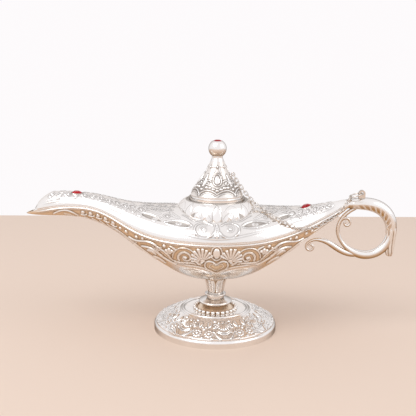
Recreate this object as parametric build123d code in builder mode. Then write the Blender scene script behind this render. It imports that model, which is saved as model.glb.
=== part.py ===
from build123d import *
import os
from math import atan2, ceil, cos, hypot, radians, sin, sqrt

# Genie oil lamp: a boat-shaped bowl of two cast shells with a hooded spout, a scrolled
# handle and a chained lid, on a turned stem and a hollow foot.
# Millimetres, +Z up, spout along -X, origin at the centre of the foot's underside.

os.makedirs("parts", exist_ok=True)

# Fits and clearances
seat_gap = 0.05        # flat faces that part when a joint moves
slip_fit = 0.3         # lid skirt in the neck, radial
bolt_clearance = 0.3   # bolt and stud holes, radial
thread_fit = 0.05      # screwed joints, radial
solder_gap = 0.1       # stones in their cups
tenon_gap = 0.35       # tenon of the handle in the tail
link_play = 0.25       # slack between one chain link and the next

# Foot
foot_radius = 42.0
foot_edge = 3.2
foot_rim_radius = 2.0
foot_rim_turn = 62
foot_ring_radius = 22.2
foot_ring_height = 14.0
foot_ring_bead = 0.9
foot_trough_radius = 12.6
foot_trough_sag = 0.5
foot_neck_radius = 7.6
foot_neck_sag = 0.9
foot_height = 17.0
foot_wall = 2.2
foot_top = 3.0

# Stem
stem_height = 18.8
knop_radius = 11.3
knop_height = 2.0
knop_bulge = 1.0
stem_step_radius = 8.0
stem_step_height = 4.0
stem_neck_radius = 5.9
stem_neck_height = 4.6
stem_ring_radius = 7.3
stem_ring_height = 7.0
stem_ring_bulge = 0.6
stem_waist_radius = 5.0
stem_leaf_radius = 5.7
stem_leaf_height = 13.4
stem_cup_radius = 7.2

# Long bolt that clamps the foot, the stem and the bowl
bolt_radius = 2.5
bolt_head_radius = 4.6
bolt_head_height = 3.4
bolt_engagement = 6.5
bolt_point = 0.5
bolt_end_room = 0.4
washer_radius = 6.5
washer_thickness = 1.2

# Bowl and cover, drawn as guide lines from spout to tail
shell_wall = 1.7
pad_rise = 0.8
bowl_depth = 31.4
body_half_width = 37.0
spout_reach = 128.0
lip_length = 6.2
spout_half_width = 9.2
spout_rise = 17.9
spout_depth = 8.6
hood_rise = 7.4
deck_rise = 16.9
tail_reach = 88.0
tail_half_width = 4.6
tail_half_height = 3.0
tail_rise = 19.9
boss_radius = 6.2
mouth_half_width = 3.8
mouth_half_height = 2.2
mouth_depth = 14.0

# Dome and neck of the cover
dome_radius = 27.0
dome_base_rise = 11.0
neck_radius = 19.4
neck_rise = 22.3

# Lid
lid_skirt_radius = 14.9
lid_skirt_depth = 6.0
lid_wall = 1.5
lid_throat_wall = 0.8
lid_flange_radius = 18.6
lid_flange_thickness = 1.6
lid_cone_height = 24.2
lid_cone_radius = 17.6
lid_shoulder_radius = 16.0
lid_shoulder_height = 4.2
lid_waist_radius = 11.7
lid_waist_height = 10.4
lid_throat_radius = 5.6
lid_throat_height = 20.8
lid_crown_radius = 4.3
lid_crown_thickness = 2.6

# Finial on the lid
finial_collar_height = 1.7
finial_neck_radius = 3.65
ball_radius = 6.05
ball_rise = 7.9
gem_seat_rise = 5.0
stud_radius = 1.5
stud_length = 6.4
nut_radius = 3.1
nut_height = 2.4

# Red stones
finial_gem_radius = 2.9
finial_gem_girdle = 0.7
finial_gem_crown = 0.6
body_gem_radius = 3.5
body_gem_girdle = 1.1
body_gem_crown = 1.0
gem_crown_taper = 42
gem_sides = 16
cup_wall = 0.5
cup_height = 0.4
cup_depth = 0.5
spout_gem_share = 0.733   # of the spout's reach
tail_gem_share = 0.682    # of the tail's reach
tail_gem_tilt = 12
tail_gem_lift = 0.5

# Main forms of the cast ornament; the finer carving is not modelled
boss_root = 0.8          # depth of a boss below the face it stands on
foot_bead_count = 26
foot_bead_radius = 1.4
foot_bead_circle = 13.9
foot_bead_lift = 0.8     # of the beads' centres above the trough
foot_fields = 8          # repeats round the foot, each with two flowers and a shell
foot_field_start = -103
flower_radius = 3.4
flower_rise = 0.7
flower_circle = 35.4
flower_aside = 3.9
shell_radius = 4.6
shell_rise = 0.7
shell_circle = 31.2
loop_boss = (7.3, 10.2, 4.4, 0.7)      # x, distance up from the seam, radius, rise
bud_boss = (24.4, 12.7, 3.0, 0.6)
curl_boss = (32.0, 18.2, 3.0, 0.6)
rosette_boss = (40.4, 12.4, 3.2, 0.6)
hood_bosses = [(0.41, 12.0), (0.49, 11.4), (0.57, 9.4), (0.65, 8.6), (0.82, 8.4)]  # share of the reach, up
tail_bosses = [(0.6, 11.0), (0.73, 8.2)]
hood_boss_radius = 2.4
hood_boss_rise = 0.5

# Handle, measured from the middle of the tail's end
arch_half_height = 4.2
arch_half_depth = 4.4
leaf_tip_radius = 0.7
hoop_radius = 2.9
hoop_end_radius = 1.3
scroll_radius = 2.0
volute_end_radius = 0.8
hoop_taper = (0.35, 0.62)   # parts of each path between which it thins
curl_taper = (0.0, 0.5)
scroll_taper = (0.3, 0.75)
tenon_length = 6.0
lug_offset = 9.2
lug_rise = 7.2
lug_radius = 2.2
lug_hole_radius = 1.1
lug_thickness = 2.2

# Chain
loop_corners = 6       # corners in each half of an eye or ring
link_corners = 4       # corners in each end of a link
ring_radius = 4.2
ring_wire = 0.45
ring_droop = 17
link_wire = 0.3
link_inner_length = 3.0
link_inner_width = 1.35
eye_height = 106.2
eye_radius = 1.1
eye_wire = 0.35
eye_stand_off = 0.35
eye_hang_angle = -60
ring_hang_angle = 25
chain_lift = 1.65      # link centres above the face they lie on
chain_bell_offset = -1.6
chain_over_cover = [(23.6, -4.6), (29.9, -9.0), (35.0, -16.6), (41.8, -21.0)]  # plan points
chain_beside_rim = [   # share of the tail's reach, distance outside the rim, height above the seam
    (0.574, 0.9, 3.4), (0.636, 2.2, 0.4), (0.72, 2.4, -2.1), (0.8125, 2.2, -2.8),
    (0.894, 1.3, -2.6), (0.948, 1.8, -0.2), (0.984, 1.0, 3.2),
]
handle_run_links = 9

# Heights that follow from the sizes above
bowl_bottom = foot_height + stem_height
seam_height = bowl_bottom + pad_rise + bowl_depth
neck_top = seam_height + neck_rise
lid_seat = neck_top + seat_gap
cone_base = lid_seat + lid_flange_thickness
lid_crown = cone_base + lid_cone_height
ball_height = lid_crown + ball_rise
gem_seat = ball_height + gem_seat_rise
hood_reach = spout_reach - lip_length

def spout(share):
    """Station on the spout's side, as a share of its reach."""
    return -share * spout_reach


def hood(share):
    """Station on the spout's side, as a share of the hood's reach."""
    return -share * hood_reach


def tail(share):
    """Station on the tail's side, as a share of its reach."""
    return share * tail_reach


# Guide lines of the body: (x, half width) in plan, and (x, height above the middle of the seam)
plan_line = Spline(
    (spout(1), 0.087 * spout_half_width),
    (spout(0.953), 0.52 * spout_half_width),
    (spout(0.859), 0.935 * spout_half_width),
    (spout(0.703), 1.065 * spout_half_width),
    (spout(0.547), 1.565 * spout_half_width),
    (spout(0.3125), 0.79 * body_half_width),
    (0, body_half_width),
    (tail(0.341), 0.865 * body_half_width),
    (tail(0.636), 0.473 * body_half_width),
    (tail(0.841), 1.696 * tail_half_width),
    (tail(1), tail_half_width),
    (tail(1.045), 0.87 * tail_half_width),
)
seam_line = Spline(
    (spout(1), 0.631 * spout_rise),
    (spout(0.875), 0.888 * spout_rise),
    (spout(0.734), spout_rise),
    (spout(0.594), 0.855 * spout_rise),
    (spout(0.422), 0.32 * spout_rise),
    (spout(0.219), 0.04 * spout_rise),
    (0, 0),
    (tail(0.341), 0.06 * tail_rise),
    (tail(0.636), 0.31 * tail_rise),
    (tail(0.841), 0.65 * tail_rise),
    (tail(1), tail_rise),
    (tail(1.045), 1.08 * tail_rise),
)
keel_line = Spline(
    (spout(1), 0.609 * spout_rise),
    (spout(0.875), spout_rise - 0.93 * spout_depth),
    (spout(0.719), spout_rise - spout_depth),
    (spout(0.578), spout_rise - 1.593 * spout_depth),
    (spout(0.4375), -0.23 * bowl_depth),
    (spout(0.281), -0.665 * bowl_depth),
    (spout(0.125), -0.955 * bowl_depth),
    (0, -bowl_depth),
    (tail(0.182), -0.945 * bowl_depth),
    (tail(0.409), -0.67 * bowl_depth),
    (tail(0.636), -0.21 * bowl_depth),
    (tail(0.841), tail_rise - 4.6 * tail_half_height),
    (tail(1), tail_rise - tail_half_height),
    (tail(1.045), tail_rise),
)
ridge_line = Spline(
    (hood(1), spout_rise - 0.473 * hood_rise),
    (hood(0.974), spout_rise + 0.216 * hood_rise),
    (hood(0.92), spout_rise + 0.838 * hood_rise),
    (hood(0.821), spout_rise + 0.973 * hood_rise),
    (hood(0.673), spout_rise + 0.757 * hood_rise),
    (hood(0.509), 1.112 * deck_rise),
    (hood(0.345), 0.994 * deck_rise),
    (0, deck_rise),
    (tail(0.477), 0.947 * deck_rise),
    (tail(0.727), 1.036 * deck_rise),
    (tail(1), tail_rise + tail_half_height),
    (tail(1.045), tail_rise + 1.267 * tail_half_height),
)


def on_line(line, x):
    """Value of a guide line at the station x."""
    low, high = 0.0, 1.0
    for _ in range(36):
        middle = (low + high) / 2
        if (line @ middle).X < x:
            low = middle
        else:
            high = middle
    return (line @ high).Y


def half_width(x):
    return on_line(plan_line, x)


def seam_z(x):
    return seam_height + on_line(seam_line, x)


def keel_z(x):
    return seam_height + on_line(keel_line, x)


def ridge_z(x):
    return seam_height + on_line(ridge_line, x)


def deck_z(x, y):
    """Height of the cover's outer face above the plan point (x, y)."""
    across = min(1.0, abs(y) / half_width(x))
    return seam_z(x) + (ridge_z(x) - seam_z(x)) * sqrt(1 - across**2)


def cover_z(x, y):
    """Height of the cover with its dome above the plan point (x, y)."""
    out = max(0.0, hypot(x, y) - neck_radius) / (dome_radius - neck_radius)
    if out >= 1:
        return deck_z(x, y)
    return max(deck_z(x, y), neck_top - (neck_rise - dome_base_rise) * (1 - sqrt(1 - out**2)))


def half_section(x, wide, seam, rise, past):
    """Half ellipse across the body at x, standing on the seam or, with rise below 0, hanging from it.

    A section of a hollow runs on straight past the seam, so that the cut is open there.
    """
    start = 0 if rise > 0 else 180
    side = -past if rise > 0 else past
    with BuildSketch(Plane(origin=(x, 0, seam), x_dir=(0, 1, 0), z_dir=(1, 0, 0))) as section:
        with BuildLine():
            arc = EllipticalCenterArc((0, 0), wide, abs(rise), start, arc_size=180)
            if past:
                Polyline(arc @ 1, arc @ 1 + Vector(0, side), arc @ 0 + Vector(0, side), arc @ 0)
            else:
                Line(arc @ 1, arc @ 0)
        make_face()
    return section.sketch


def hull_sections(stations, wall=0.0):
    """Sections of the lower bowl, drawn in by the wall."""
    return [
        half_section(x, half_width(x) - wall, seam_z(x), keel_z(x) - seam_z(x) + wall, 2 * wall)
        for x in stations
    ]


def deck_sections(stations, wall=0.0):
    """Sections of the upper cover, drawn in by the wall."""
    return [
        half_section(x, half_width(x) - wall, seam_z(x), ridge_z(x) - seam_z(x) - wall, 2 * wall)
        for x in stations
    ]


def ridge_plane(x, tilt=0.0, lift=0.0):
    """Plane on the cover's ridge at x, facing up and square to the ridge, then tilted and lifted."""
    step = 0.5
    angle = atan2(ridge_z(x + step) - ridge_z(x - step), 2 * step) + radians(tilt)
    origin = (x, 0, ridge_z(x) + lift)
    return Plane(origin=origin, x_dir=(cos(angle), 0, sin(angle)), z_dir=(-sin(angle), 0, cos(angle)))


body_stations = [
    *[spout(share) for share in (0.844, 0.766, 0.688, 0.609, 0.531, 0.453, 0.375, 0.281, 0.172, 0.063)],
    *[tail(share) for share in (0.091, 0.25, 0.409, 0.545, 0.659, 0.773, 0.886, 1)],
]
bowl_stations = [spout(share) for share in (1, 0.98, 0.945, 0.898)] + body_stations
hood_stations = [hood(share) for share in (1, 0.987, 0.967, 0.934)] + body_stations
cavity_stations = body_stations + [tail(1.023)]


def boss(radius, rise):
    """Low round boss of the cast ornament: a ball's cap, rooted in the wall it stands on."""
    ball = (radius**2 + rise**2) / (2 * rise)
    root_radius = sqrt(ball**2 - (ball - rise - boss_root)**2)
    with BuildPart() as raised:
        with BuildSketch(Plane.XZ):
            with BuildLine():
                crown = TangentArc((0, rise), (root_radius, -boss_root), tangent=(1, 0))
                Polyline(crown @ 1, (0, -boss_root), crown @ 0)
            make_face()
        revolve(axis=Axis.Z)
    return raised.part


def deck_plane(x, reach, side):
    """Plane square to the cover at x, so far up from the near seam (side -1) or the far one (side 1)."""
    wide = half_width(x)
    rise = ridge_z(x) - seam_z(x)
    step = 0.005
    turn = 0.0
    run = 0.0
    while run < reach:
        run += step * hypot(wide * sin(turn), rise * cos(turn))
        turn += step
    y = side * wide * cos(turn)
    along = deck_z(x + 0.5, y) - deck_z(x - 0.5, y)
    across = deck_z(x, y + 0.5) - deck_z(x, y - 0.5)
    return Plane(origin=(x, y, deck_z(x, y)), x_dir=(1, 0, along), z_dir=(-along, -across, 1))


# Foot: a hollow dish with a rolled rim, flowers and shells on its slope, a bead ring and a concave neck
bolt_hole = bolt_radius + bolt_clearance
rim_turn = radians(foot_rim_turn)
slope_foot = Vector(
    foot_radius - foot_rim_radius * (1 - cos(rim_turn)), foot_edge + foot_rim_radius * sin(rim_turn)
)
slope_top = Vector(foot_ring_radius + foot_ring_bead, foot_ring_height)
slope_lean = (slope_top.Y - slope_foot.Y) / (slope_foot.X - slope_top.X)


def foot_plane(circle, heading, aside=0.0):
    """Plane square to the foot's slope, on a circle at a heading, and moved aside along it."""
    out = Vector(cos(radians(heading)), sin(radians(heading)), 0)
    spot = out * circle + Vector(-out.Y, out.X, 0) * aside
    level = slope_foot.Y + (slope_foot.X - spot.length) * slope_lean
    return Plane(origin=(spot.X, spot.Y, level), z_dir=spot.normalized() * slope_lean + Vector(0, 0, 1))


field_headings = [foot_field_start + 360 / foot_fields * field for field in range(foot_fields)]
flower_seats = [
    foot_plane(flower_circle, heading, aside)
    for heading in field_headings
    for aside in (-flower_aside, flower_aside)
]
shell_seats = [foot_plane(shell_circle, heading + 180 / foot_fields) for heading in field_headings]
with BuildPart() as foot:
    with BuildSketch(Plane.XZ):
        with BuildLine():
            edge = Polyline(
                (foot_radius - 1.5 * foot_wall, 0),
                (foot_radius, 0),
                (foot_radius, foot_edge),
            )
            rim = JernArc(edge @ 1, (0, 1), foot_rim_radius, foot_rim_turn)
            slope = Line(rim @ 1, slope_top)
            bead = CenterArc((foot_ring_radius, foot_ring_height), foot_ring_bead, 0, 180)
            trough = SagittaArc(bead @ 1, (foot_trough_radius, foot_ring_height), foot_trough_sag)
            neck = SagittaArc(trough @ 1, (foot_neck_radius, foot_height), foot_neck_sag)
            Polyline(
                neck @ 1,
                (bolt_hole, foot_height),
                (bolt_hole, foot_height - foot_top),
                (washer_radius + bolt_clearance, foot_height - foot_top),
                (foot_trough_radius - foot_wall, foot_ring_height - foot_wall - foot_trough_sag),
                (foot_ring_radius, foot_ring_height - foot_wall - foot_trough_sag),
                (foot_radius - 1.5 * foot_wall, foot_edge),
                edge @ 0,
            )
        make_face()
    revolve(axis=Axis.Z)
    with Locations(*[seat.location for seat in flower_seats]):
        add(boss(flower_radius, flower_rise))
    with Locations(*[seat.location for seat in shell_seats]):
        add(boss(shell_radius, shell_rise))
    with Locations((0, 0, foot_ring_height - foot_trough_sag + foot_bead_lift)):
        with PolarLocations(foot_bead_circle, foot_bead_count):
            Sphere(foot_bead_radius)
foot.part.label = "foot"
export_step(foot.part, "parts/foot.step")

# Stem: knop, neck, ring and flared leaf cup, bored for the bolt
knop_centre = (knop_radius - knop_bulge, foot_height + knop_height)
ring_centre = (stem_ring_radius - stem_ring_bulge, foot_height + stem_ring_height)
with BuildPart() as stem:
    with BuildSketch(Plane.XZ):
        with BuildLine():
            base = Polyline(
                (bolt_hole, foot_height),
                (foot_neck_radius, foot_height),
                (knop_centre[0], knop_centre[1] - knop_bulge),
            )
            knop = CenterArc(knop_centre, knop_bulge, -90, 180)
            neck = Polyline(
                knop @ 1,
                (stem_step_radius, foot_height + stem_step_height),
                (stem_neck_radius, foot_height + stem_neck_height),
                (stem_neck_radius, ring_centre[1] - stem_ring_bulge),
                (ring_centre[0], ring_centre[1] - stem_ring_bulge),
            )
            ring = CenterArc(ring_centre, stem_ring_bulge, -90, 180)
            ledge = Line(ring @ 1, (stem_waist_radius, ring_centre[1] + stem_ring_bulge))
            cup = Spline(
                ledge @ 1,
                (stem_leaf_radius, foot_height + stem_leaf_height),
                (stem_cup_radius, bowl_bottom),
                tangents=((0, 1), (0.8, 1)),
            )
            Polyline(cup @ 1, (bolt_hole, bowl_bottom), base @ 0)
        make_face()
    revolve(axis=Axis.Z)
stem.part.label = "stem"
export_step(stem.part, "parts/stem.step")

# Washer and hexagon bolt under the foot
washer_top = foot_height - foot_top
with BuildPart() as foot_washer:
    with BuildSketch(Plane.XY.offset(washer_top - washer_thickness)):
        Circle(washer_radius)
        Circle(bolt_hole, mode=Mode.SUBTRACT)
    extrude(amount=washer_thickness)
foot_washer.part.label = "foot_washer"
export_step(foot_washer.part, "parts/foot_washer.step")

bolt_seat = washer_top - washer_thickness
bolt_tip = bowl_bottom + bolt_engagement
with BuildPart() as foot_bolt:
    with BuildSketch(Plane.XY.offset(bolt_seat - bolt_head_height)):
        RegularPolygon(bolt_head_radius, 6)
    extrude(amount=bolt_head_height)
    with BuildSketch(Plane.XY.offset(bolt_seat)):
        Circle(bolt_radius)
    extrude(amount=bolt_tip - bolt_seat)
    chamfer(foot_bolt.faces().sort_by(Axis.Z)[-1].edges(), bolt_point)
foot_bolt.part.label = "foot_bolt"
export_step(foot_bolt.part, "parts/foot_bolt.step")

# Lower bowl: the keeled hull with its pouring lip, a pad for the stem and a screwed boss
mouth_start = (-spout_reach - 1, 0, seam_z(-hood_reach))
mouth_plane = Plane(origin=mouth_start, x_dir=(0, 1, 0), z_dir=(1, 0, 0))
with BuildPart() as lower_bowl:
    loft(hull_sections(bowl_stations))
    with BuildSketch(Plane.XY.offset(bowl_bottom)):
        Circle(stem_cup_radius)
    extrude(amount=pad_rise + shell_wall)
    loft(hull_sections(cavity_stations, shell_wall), mode=Mode.SUBTRACT)
    with BuildSketch(Plane.XY.offset(bowl_bottom)):
        Circle(boss_radius)
    extrude(amount=bolt_engagement + shell_wall)
    with BuildSketch(Plane.XY.offset(bowl_bottom)):
        Circle(bolt_radius + thread_fit)
    extrude(amount=bolt_engagement + bolt_end_room, mode=Mode.SUBTRACT)
    with BuildSketch(mouth_plane):
        Ellipse(mouth_half_width, mouth_half_height)
    extrude(amount=spout_reach - hood_reach + mouth_depth, mode=Mode.SUBTRACT)
lower_bowl.part.label = "lower_bowl"
export_step(lower_bowl.part, "parts/lower_bowl.step")


def deck_seats(form):
    """Seats of one ornament form in the cover's quarters, without the chain's quarter if it lies near."""
    x, up, radius, rise = form
    quarters = [(end, side) for end in (-1, 1) for side in (-1, 1)]
    if form in (curl_boss, rosette_boss):
        quarters.remove((1, -1))
    return [deck_plane(end * x, up, side).location for end, side in quarters]


small_spots = [(spout(share), up) for share, up in hood_bosses]
small_spots += [(tail(share), up) for share, up in tail_bosses]
small_seats = [deck_plane(x, up, side).location for x, up in small_spots for side in (-1, 1)]

# Upper cover: crowned deck, spout hood, domed neck, and the cups of two stones
spout_gem_seat = ridge_plane(spout(spout_gem_share))
tail_gem_seat = ridge_plane(tail(tail_gem_share), tail_gem_tilt, tail_gem_lift)
with BuildPart() as upper_cover:
    loft(deck_sections(hood_stations))
    with BuildSketch(Plane.XZ):
        with BuildLine():
            dome_foot = (dome_radius, seam_height + dome_base_rise)
            shoulder = EllipticalCenterArc(
                (neck_radius, dome_foot[1]), dome_radius - neck_radius, neck_top - dome_foot[1], arc_size=90
            )
            Polyline(shoulder @ 1, (0, neck_top), (0, dome_foot[1]), dome_foot)
        make_face()
    revolve(axis=Axis.Z)
    for seat in (spout_gem_seat, tail_gem_seat):
        with BuildSketch(seat.offset(-shell_wall)):
            Circle(body_gem_radius + cup_wall)
        extrude(amount=shell_wall + cup_height)
    for form in (loop_boss, bud_boss, curl_boss, rosette_boss):
        with Locations(*deck_seats(form)):
            add(boss(*form[2:]))
    with Locations(*small_seats):
        add(boss(hood_boss_radius, hood_boss_rise))
    loft(deck_sections(cavity_stations, shell_wall), mode=Mode.SUBTRACT)
    with BuildSketch(Plane.XY.offset(dome_foot[1])):
        Circle(lid_skirt_radius + slip_fit)
    extrude(amount=neck_top - dome_foot[1], mode=Mode.SUBTRACT)
    for seat in (spout_gem_seat, tail_gem_seat):
        with BuildSketch(seat.offset(-cup_depth)):
            Circle(body_gem_radius + solder_gap)
        extrude(amount=shell_wall + cup_depth, mode=Mode.SUBTRACT)
    with BuildSketch(mouth_plane):
        Ellipse(mouth_half_width, mouth_half_height)
    extrude(amount=spout_reach - hood_reach + mouth_depth, mode=Mode.SUBTRACT)
upper_cover.part.label = "upper_cover"
export_step(upper_cover.part, "parts/upper_cover.step")


def stone(seat, radius, girdle, crown):
    """Round faceted stone with a flat back at the bottom of the cup in the given seat."""
    with BuildPart() as gem:
        with BuildSketch(seat.offset(-cup_depth)):
            RegularPolygon(radius, gem_sides)
        extrude(amount=girdle)
        with BuildSketch(seat.offset(girdle - cup_depth)):
            RegularPolygon(radius, gem_sides)
        extrude(amount=crown, taper=gem_crown_taper)
    return gem.part


stones = {
    "spout_gem": stone(spout_gem_seat, body_gem_radius, body_gem_girdle, body_gem_crown),
    "tail_gem": stone(tail_gem_seat, body_gem_radius, body_gem_girdle, body_gem_crown),
    "finial_gem": stone(Plane.XY.offset(gem_seat), finial_gem_radius, finial_gem_girdle, finial_gem_crown),
}
for name, gem in stones.items():
    gem.label = name
    export_step(gem, f"parts/{name}.step")

# Lid: hollow bell with a flange that rests on the neck and a skirt that centres it
with BuildPart() as lid:
    with BuildSketch(Plane.XZ):
        with BuildLine():
            rim = Polyline(
                (lid_skirt_radius - lid_wall, lid_seat - lid_skirt_depth),
                (lid_skirt_radius, lid_seat - lid_skirt_depth),
                (lid_skirt_radius, lid_seat),
                (lid_flange_radius, lid_seat),
                (lid_flange_radius, cone_base),
                (lid_cone_radius, cone_base),
            )
            bell = Spline(
                rim @ 1,
                (lid_shoulder_radius, cone_base + lid_shoulder_height),
                (lid_waist_radius, cone_base + lid_waist_height),
                (lid_throat_radius, cone_base + lid_throat_height),
                (lid_crown_radius, lid_crown),
            )
            crown = Polyline(
                bell @ 1,
                (stud_radius + bolt_clearance, lid_crown),
                (stud_radius + bolt_clearance, lid_crown - lid_crown_thickness),
                (lid_crown_radius - lid_throat_wall, lid_crown - lid_crown_thickness),
            )
            inside = Spline(
                crown @ 1,
                (lid_waist_radius - 1.2 * lid_wall, cone_base + lid_waist_height),
                (lid_shoulder_radius - 1.2 * lid_wall, cone_base + lid_shoulder_height),
                (lid_cone_radius - lid_wall, cone_base),
            )
            Polyline(inside @ 1, (lid_skirt_radius - lid_wall, cone_base), rim @ 0)
        make_face()
    revolve(axis=Axis.Z)
    bell_waist = Vector(lid_waist_radius, 0, cone_base + lid_waist_height)
    bell_slope = Vector(lid_throat_radius, 0, cone_base + lid_throat_height) - bell_waist
    eye_foot = bell_waist
    eye_foot += bell_slope * ((eye_height - eye_foot.Z) / bell_slope.Z)
    eye_out = Vector(bell_slope.Z, 0, -bell_slope.X).normalized()
    with BuildSketch(Plane(origin=eye_foot - eye_out * 3 * lid_wall, z_dir=eye_out)):
        Circle(eye_wire + thread_fit)
    extrude(amount=4 * lid_wall, mode=Mode.SUBTRACT)
lid.part.label = "lid"
export_step(lid.part, "parts/lid.step")


def wire_loop(plane, half_run, bend, corners, wire):
    """Closed loop of six-sided wire: half a polygon of so many corners at each end of two straight runs."""
    turn = 180 / corners
    reach = bend / cos(radians(turn / 2))
    points = [(0, -bend)]
    for side, start in ((1, -90), (-1, 90)):
        for i in range(corners):
            angle = radians(start + (i + 0.5) * turn)
            points.append((side * half_run + reach * cos(angle), reach * sin(angle)))
    with BuildPart() as loop:
        with BuildLine(plane) as path:
            Polyline(*points, close=True)
        start = plane.from_local_coords((0, -bend, 0))
        with BuildSketch(Plane(origin=start, x_dir=plane.z_dir, z_dir=plane.x_dir)):
            RegularPolygon(wire, 6)
        sweep(path=path.wires()[0], transition=Transition.RIGHT)
    return loop.part


# Eye pin: a wire loop on a shank through the wall of the lid
eye_centre = eye_foot + eye_out * (eye_stand_off + eye_radius)
eye_plane = Plane(origin=eye_centre, x_dir=Vector(0, 1, 0).cross(eye_out), z_dir=(0, 1, 0))
with BuildPart() as lid_eye:
    add(wire_loop(eye_plane, 0, eye_radius, loop_corners, eye_wire))
    with BuildSketch(Plane(origin=eye_centre - eye_out * eye_radius, z_dir=-eye_out)):
        Circle(eye_wire)
    extrude(amount=eye_stand_off + 2 * lid_wall)
lid_eye.part.label = "lid_eye"
export_step(lid_eye.part, "parts/lid_eye.step")

# Finial: collar, ball and the stud that passes through the crown of the lid
neck_reach = sqrt(ball_radius**2 - finial_neck_radius**2)
seat_radius = sqrt(ball_radius**2 - gem_seat_rise**2)
with BuildPart() as finial:
    with BuildSketch(Plane.XZ):
        with BuildLine():
            collar = Polyline(
                (0, lid_crown - stud_length),
                (stud_radius, lid_crown - stud_length),
                (stud_radius, lid_crown),
                (lid_crown_radius, lid_crown),
                (finial_neck_radius, lid_crown + finial_collar_height),
                (finial_neck_radius, ball_height - neck_reach),
            )
            ball = ThreePointArc(collar @ 1, (ball_radius, ball_height), (seat_radius, gem_seat))
            Polyline(
                ball @ 1,
                (finial_gem_radius + solder_gap, gem_seat),
                (finial_gem_radius + solder_gap, gem_seat - cup_depth),
                (0, gem_seat - cup_depth),
                collar @ 0,
            )
        make_face()
    revolve(axis=Axis.Z)
finial.part.label = "finial"
export_step(finial.part, "parts/finial.step")

nut_top = lid_crown - lid_crown_thickness
with BuildPart() as finial_nut:
    with BuildSketch(Plane.XY.offset(nut_top - nut_height)):
        RegularPolygon(nut_radius, 6)
        Circle(stud_radius + thread_fit, mode=Mode.SUBTRACT)
    extrude(amount=nut_height)
finial_nut.part.label = "finial_nut"
export_step(finial_nut.part, "parts/finial_nut.step")


# Handle: one casting of an arch, a hoop, two volutes and the chain lug
handle_base = Vector(tail_reach, 0, seam_height + tail_rise)


def from_tail(*points):
    """Points in the lamp's middle plane, given as (along, up) from the end of the tail."""
    return [handle_base + Vector(along, 0, up) for along, up in points]


def volute(centre, start_radius, end_radius, start_angle, sweep_angle, count):
    """Points of a flat spiral, as (along, up) from the end of the tail."""
    points = []
    for i in range(count + 1):
        part = i / count
        radius = start_radius * (end_radius / start_radius)**part
        angle = radians(start_angle + sweep_angle * part)
        points.append((centre[0] + radius * cos(angle), centre[1] + radius * sin(angle)))
    return points


def between(start, middle, end, part):
    """Smooth value that starts, passes the middle and ends as given."""
    return (
        start * (1 - part) * (1 - 2 * part)
        + middle * 4 * part * (1 - part)
        + end * part * (2 * part - 1)
    )


def taper(start, end, first, last, part):
    """Value that keeps its start, then eases to its end between two parts of a path."""
    share = min(1.0, max(0.0, (part - first) / (last - first)))
    return start + (end - start) * share**2 * (3 - 2 * share)


def limb_sections(path, half_height, half_depth, count):
    """Ellipses square to the path, sized by two functions of the part of the path."""
    sections = []
    for i in range(count + 1):
        part = i / count
        plane = Plane(origin=path @ part, x_dir=(0, 1, 0), z_dir=path % part)
        with BuildSketch(plane) as section:
            Ellipse(half_depth(part), half_height(part))
        sections.append(section.sketch)
    return sections


def arch_height(part):
    return between(tail_half_height, arch_half_height, leaf_tip_radius, part)


def arch_depth(part):
    return between(tail_half_width, arch_half_depth, leaf_tip_radius, part)


def hoop_width(part):
    return taper(hoop_radius, hoop_end_radius, *hoop_taper, part)


def curl_width(part):
    return taper(hoop_end_radius, volute_end_radius, *curl_taper, part)


def scroll_width(part):
    return taper(scroll_radius, volute_end_radius, *scroll_taper, part)


arch_path = Spline(
    from_tail(
        (0, 0), (6, 0.3), (12.4, 0.2), (20, -1.6), (26, -5.8), (29.4, -11.6), (30.4, -18), (30.3, -26),
        (31.2, -36),
    ),
    tangents=((1, 0, 0), (0.1, 0, -1)),
)
hoop_path = Spline(from_tail(
    (30.2, -19.4), (27.5, -27.6), (21.3, -33.4), (12, -35.2), (3.4, -32.2), (-3.2, -25.8), (-5.8, -18.5),
    (-4.2, -11.4), (0.2, -6.2), (5.4, -2.8)
))
curl_path = Spline(from_tail(*volute((-0.2, -13.4), 4.6, 0.9, 165, -430, 16)))
scroll_path = Spline(from_tail(
    (7, -34.6), (-1.5, -33.2), (-6.8, -30.2), (-12, -27), (-17.6, -25.2), (-21.6, -25.2),
    *volute((-23.8, -30.2), 3.7, 1.2, 105, 400, 14)
))
lug_centre = handle_base + Vector(lug_offset, 0, lug_rise)

with BuildPart() as handle:
    loft(limb_sections(arch_path, arch_height, arch_depth, 18))
    loft(limb_sections(hoop_path, hoop_width, hoop_width, 24))
    loft(limb_sections(curl_path, curl_width, curl_width, 30))
    loft(limb_sections(scroll_path, scroll_width, scroll_width, 36))
    with BuildSketch(Plane.XZ.offset(-lug_thickness / 2)):
        with BuildLine():
            Polyline(
                (lug_centre.X - lug_radius, lug_centre.Z),
                (lug_centre.X - lug_radius, handle_base.Z),
                (lug_centre.X + lug_radius, handle_base.Z),
                (lug_centre.X + lug_radius, lug_centre.Z),
                close=True,
            )
        make_face()
        with Locations((lug_centre.X, lug_centre.Z)):
            Circle(lug_radius)
            Circle(lug_hole_radius, mode=Mode.SUBTRACT)
    extrude(amount=lug_thickness)
    with BuildSketch(Plane(origin=handle_base, x_dir=(0, 1, 0), z_dir=(-1, 0, 0))):
        Ellipse(
            tail_half_width - shell_wall - tenon_gap,
            tail_half_height - shell_wall - tenon_gap,
        )
    tenon_drop = handle_base.Z - seam_z(tail_reach - tenon_length)
    extrude(amount=hypot(tenon_length, tenon_drop), dir=(-tenon_length, 0, -tenon_drop))
handle.part.label = "handle"
export_step(handle.part, "parts/handle.step")

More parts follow.
